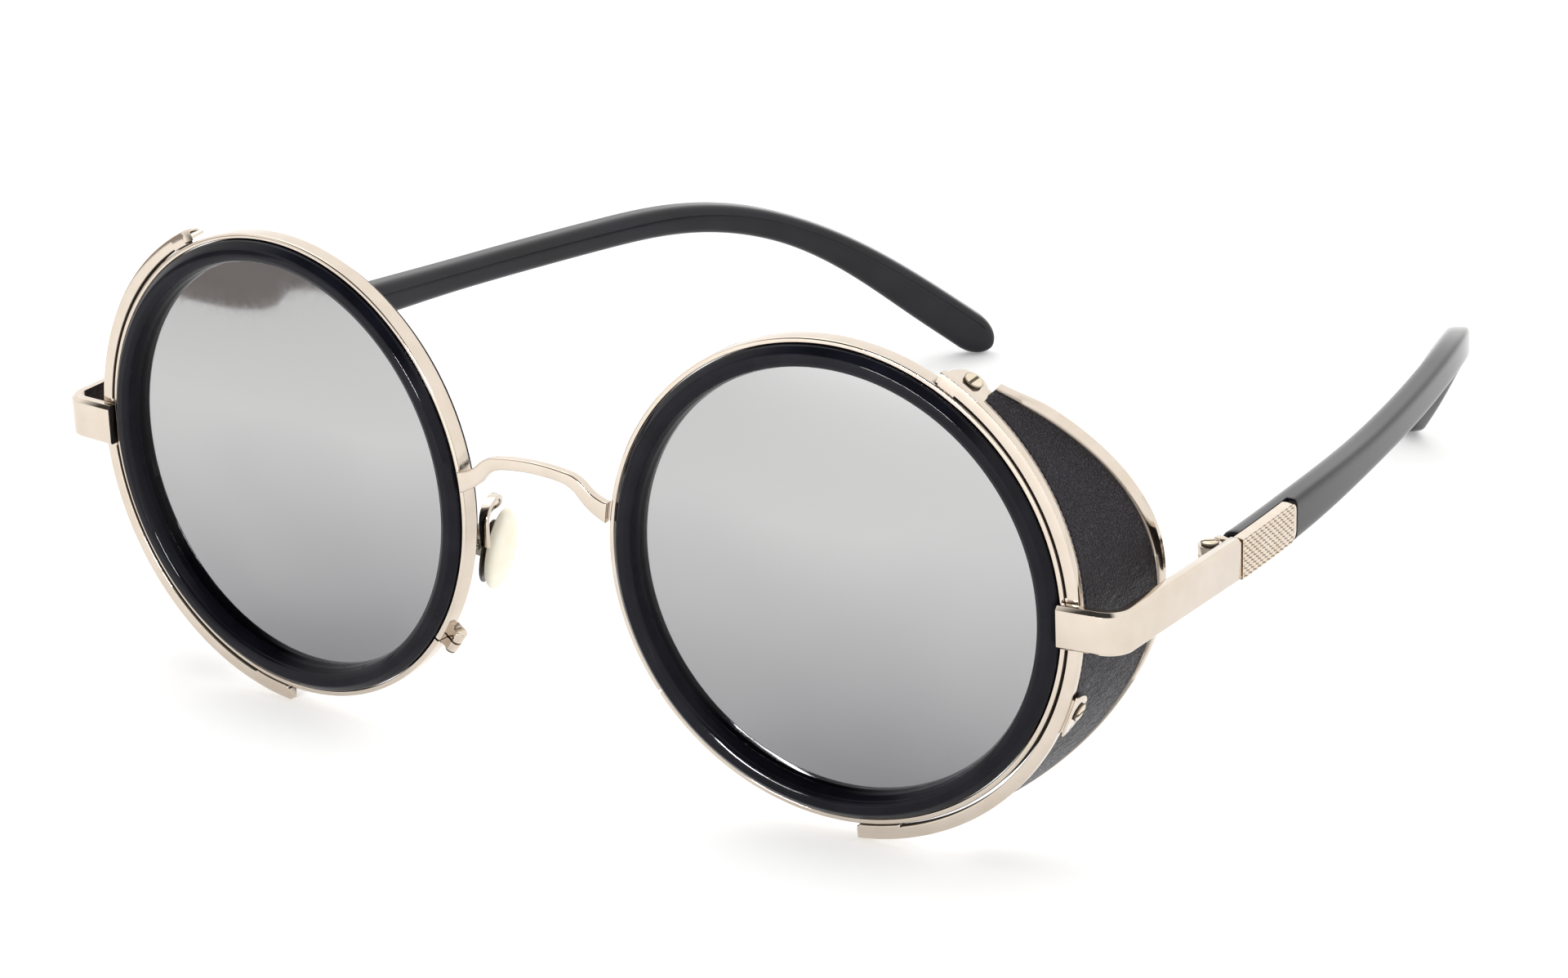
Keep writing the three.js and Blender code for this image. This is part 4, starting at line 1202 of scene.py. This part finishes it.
def make_floor():
    """A wide pale floor just under the object, faintly lit from within like a light table."""
    material, tree, shader = new_material("floor")
    where = millimetres(tree)
    tone = noise_of(tree, where, 0.004, 2)
    connect(tree, shader, {
        "Base Color": blend_of(tree, tone, (0.95, 0.95, 0.95, 1), (0.97, 0.97, 0.97, 1)),
        "Roughness": 0.9,
        "Specular IOR Level": 0.1,
        "Emission Color": (1, 1, 1, 1),
        "Emission Strength": 0.17,
    })
    mesh = bpy.data.meshes.new("floor")
    low = cad_bounds[0][2] - FLOOR_DROP
    corners = box_corners((-FLOOR_HALF, -FLOOR_HALF), (FLOOR_HALF, FLOOR_HALF))
    mesh.from_pydata([(x, y, low) for x, y in corners], [], [(0, 1, 2, 3)])
    mesh.materials.append(material)
    floor = bpy.data.objects.new("floor", mesh)
    bpy.context.scene.collection.objects.link(floor)


def make_black_card():
    """A dark card on the floor, seen only as the dark patch that the right lens mirrors."""
    material, tree, shader = new_material("black_card")
    tone = noise_of(tree, millimetres(tree), 0.02, 3)
    connect(tree, shader, {
        "Base Color": blend_of(tree, tone, (0.24, 0.21, 0.2, 1), (0.34, 0.3, 0.29, 1)),
        "Roughness": 0.8,
    })
    low = cad_bounds[0][2]
    edge = [Vector((CARD_EDGE_X - 0.012 * math.sin(k * 0.8), CARD_NEAR_Y - CARD_STEP * k, low))
            for k in range(CARD_STEPS)]
    far = [Vector((CARD_FAR_X, spot.y, low)) for spot in reversed(edge)]
    mesh = bpy.data.meshes.new("black_card")
    mesh.from_pydata(edge + far, [], [tuple(range(2 * len(edge)))])
    mesh.materials.append(material)
    card = bpy.data.objects.new("black_card", mesh)
    bpy.context.scene.collection.objects.link(card)
    card.visible_camera = card.visible_diffuse = card.visible_shadow = False


def make_world():
    """A white tent that is dark above the front, so upper edges get a dark line."""
    world = bpy.data.worlds.new("studio")
    bpy.context.scene.world = world
    world.use_nodes = True
    tree = world.node_tree
    background = tree.nodes["Background"]
    direction = add_node(tree, "TexCoord").outputs["Generated"]
    dark_way = Vector((-0.1, -0.6, 0.72)).normalized()
    bright, dark = 1.34, 0.06
    facing = add_node(tree, "VectorMath", {0: direction, 1: dark_way}, operation="DOT_PRODUCT")
    level = spread(tree, facing.outputs["Value"], 0.72, 0.88, bright, dark)
    tree.links.new(level, background.inputs["Strength"])
    background.inputs["Color"].default_value = (1.0, 0.997, 0.99, 1)


def make_lamp(name, place, target, size, power):
    lamp = bpy.data.lights.new(name, "AREA")
    lamp.shape = "RECTANGLE"
    lamp.size, lamp.size_y = size
    lamp.energy = power
    obj = bpy.data.objects.new(name, lamp)
    obj.location = place
    obj.rotation_euler = (Vector(target) - Vector(place)).to_track_quat("-Z", "Y").to_euler()
    bpy.context.scene.collection.objects.link(obj)


def make_camera():
    """The photograph's viewpoint: place, direction, slight roll and long lens."""
    camera = bpy.data.cameras.new("camera")
    camera.lens = CAMERA_LENS
    camera.sensor_width = CAMERA_SENSOR
    camera.clip_start = 0.01
    forward = CAMERA_FORWARD.normalized()
    level = forward.cross(Vector((0, 0, 1))).normalized()
    right = Matrix.Rotation(CAMERA_ROLL, 3, forward) @ level
    up = right.cross(forward)
    turn = Matrix((right, up, -forward)).transposed()
    obj = bpy.data.objects.new("camera", camera)
    obj.matrix_world = Matrix.Translation(TO_ROW @ CAMERA_PLACE) @ turn.to_4x4()
    bpy.context.scene.collection.objects.link(obj)
    bpy.context.scene.camera = obj


make_floor()
make_black_card()
make_world()
make_lamp("key", place=(-0.9, 0.5, 1.5), target=(0, 0, 0), size=(1.2, 1.2), power=4)
make_lamp("strip", place=(-0.03, -0.66, 0.15), target=(0, -0.07, 0.03), size=(0.2, 0.016), power=2.6)
make_camera()
bpy.context.scene.view_settings.view_transform = "Standard"
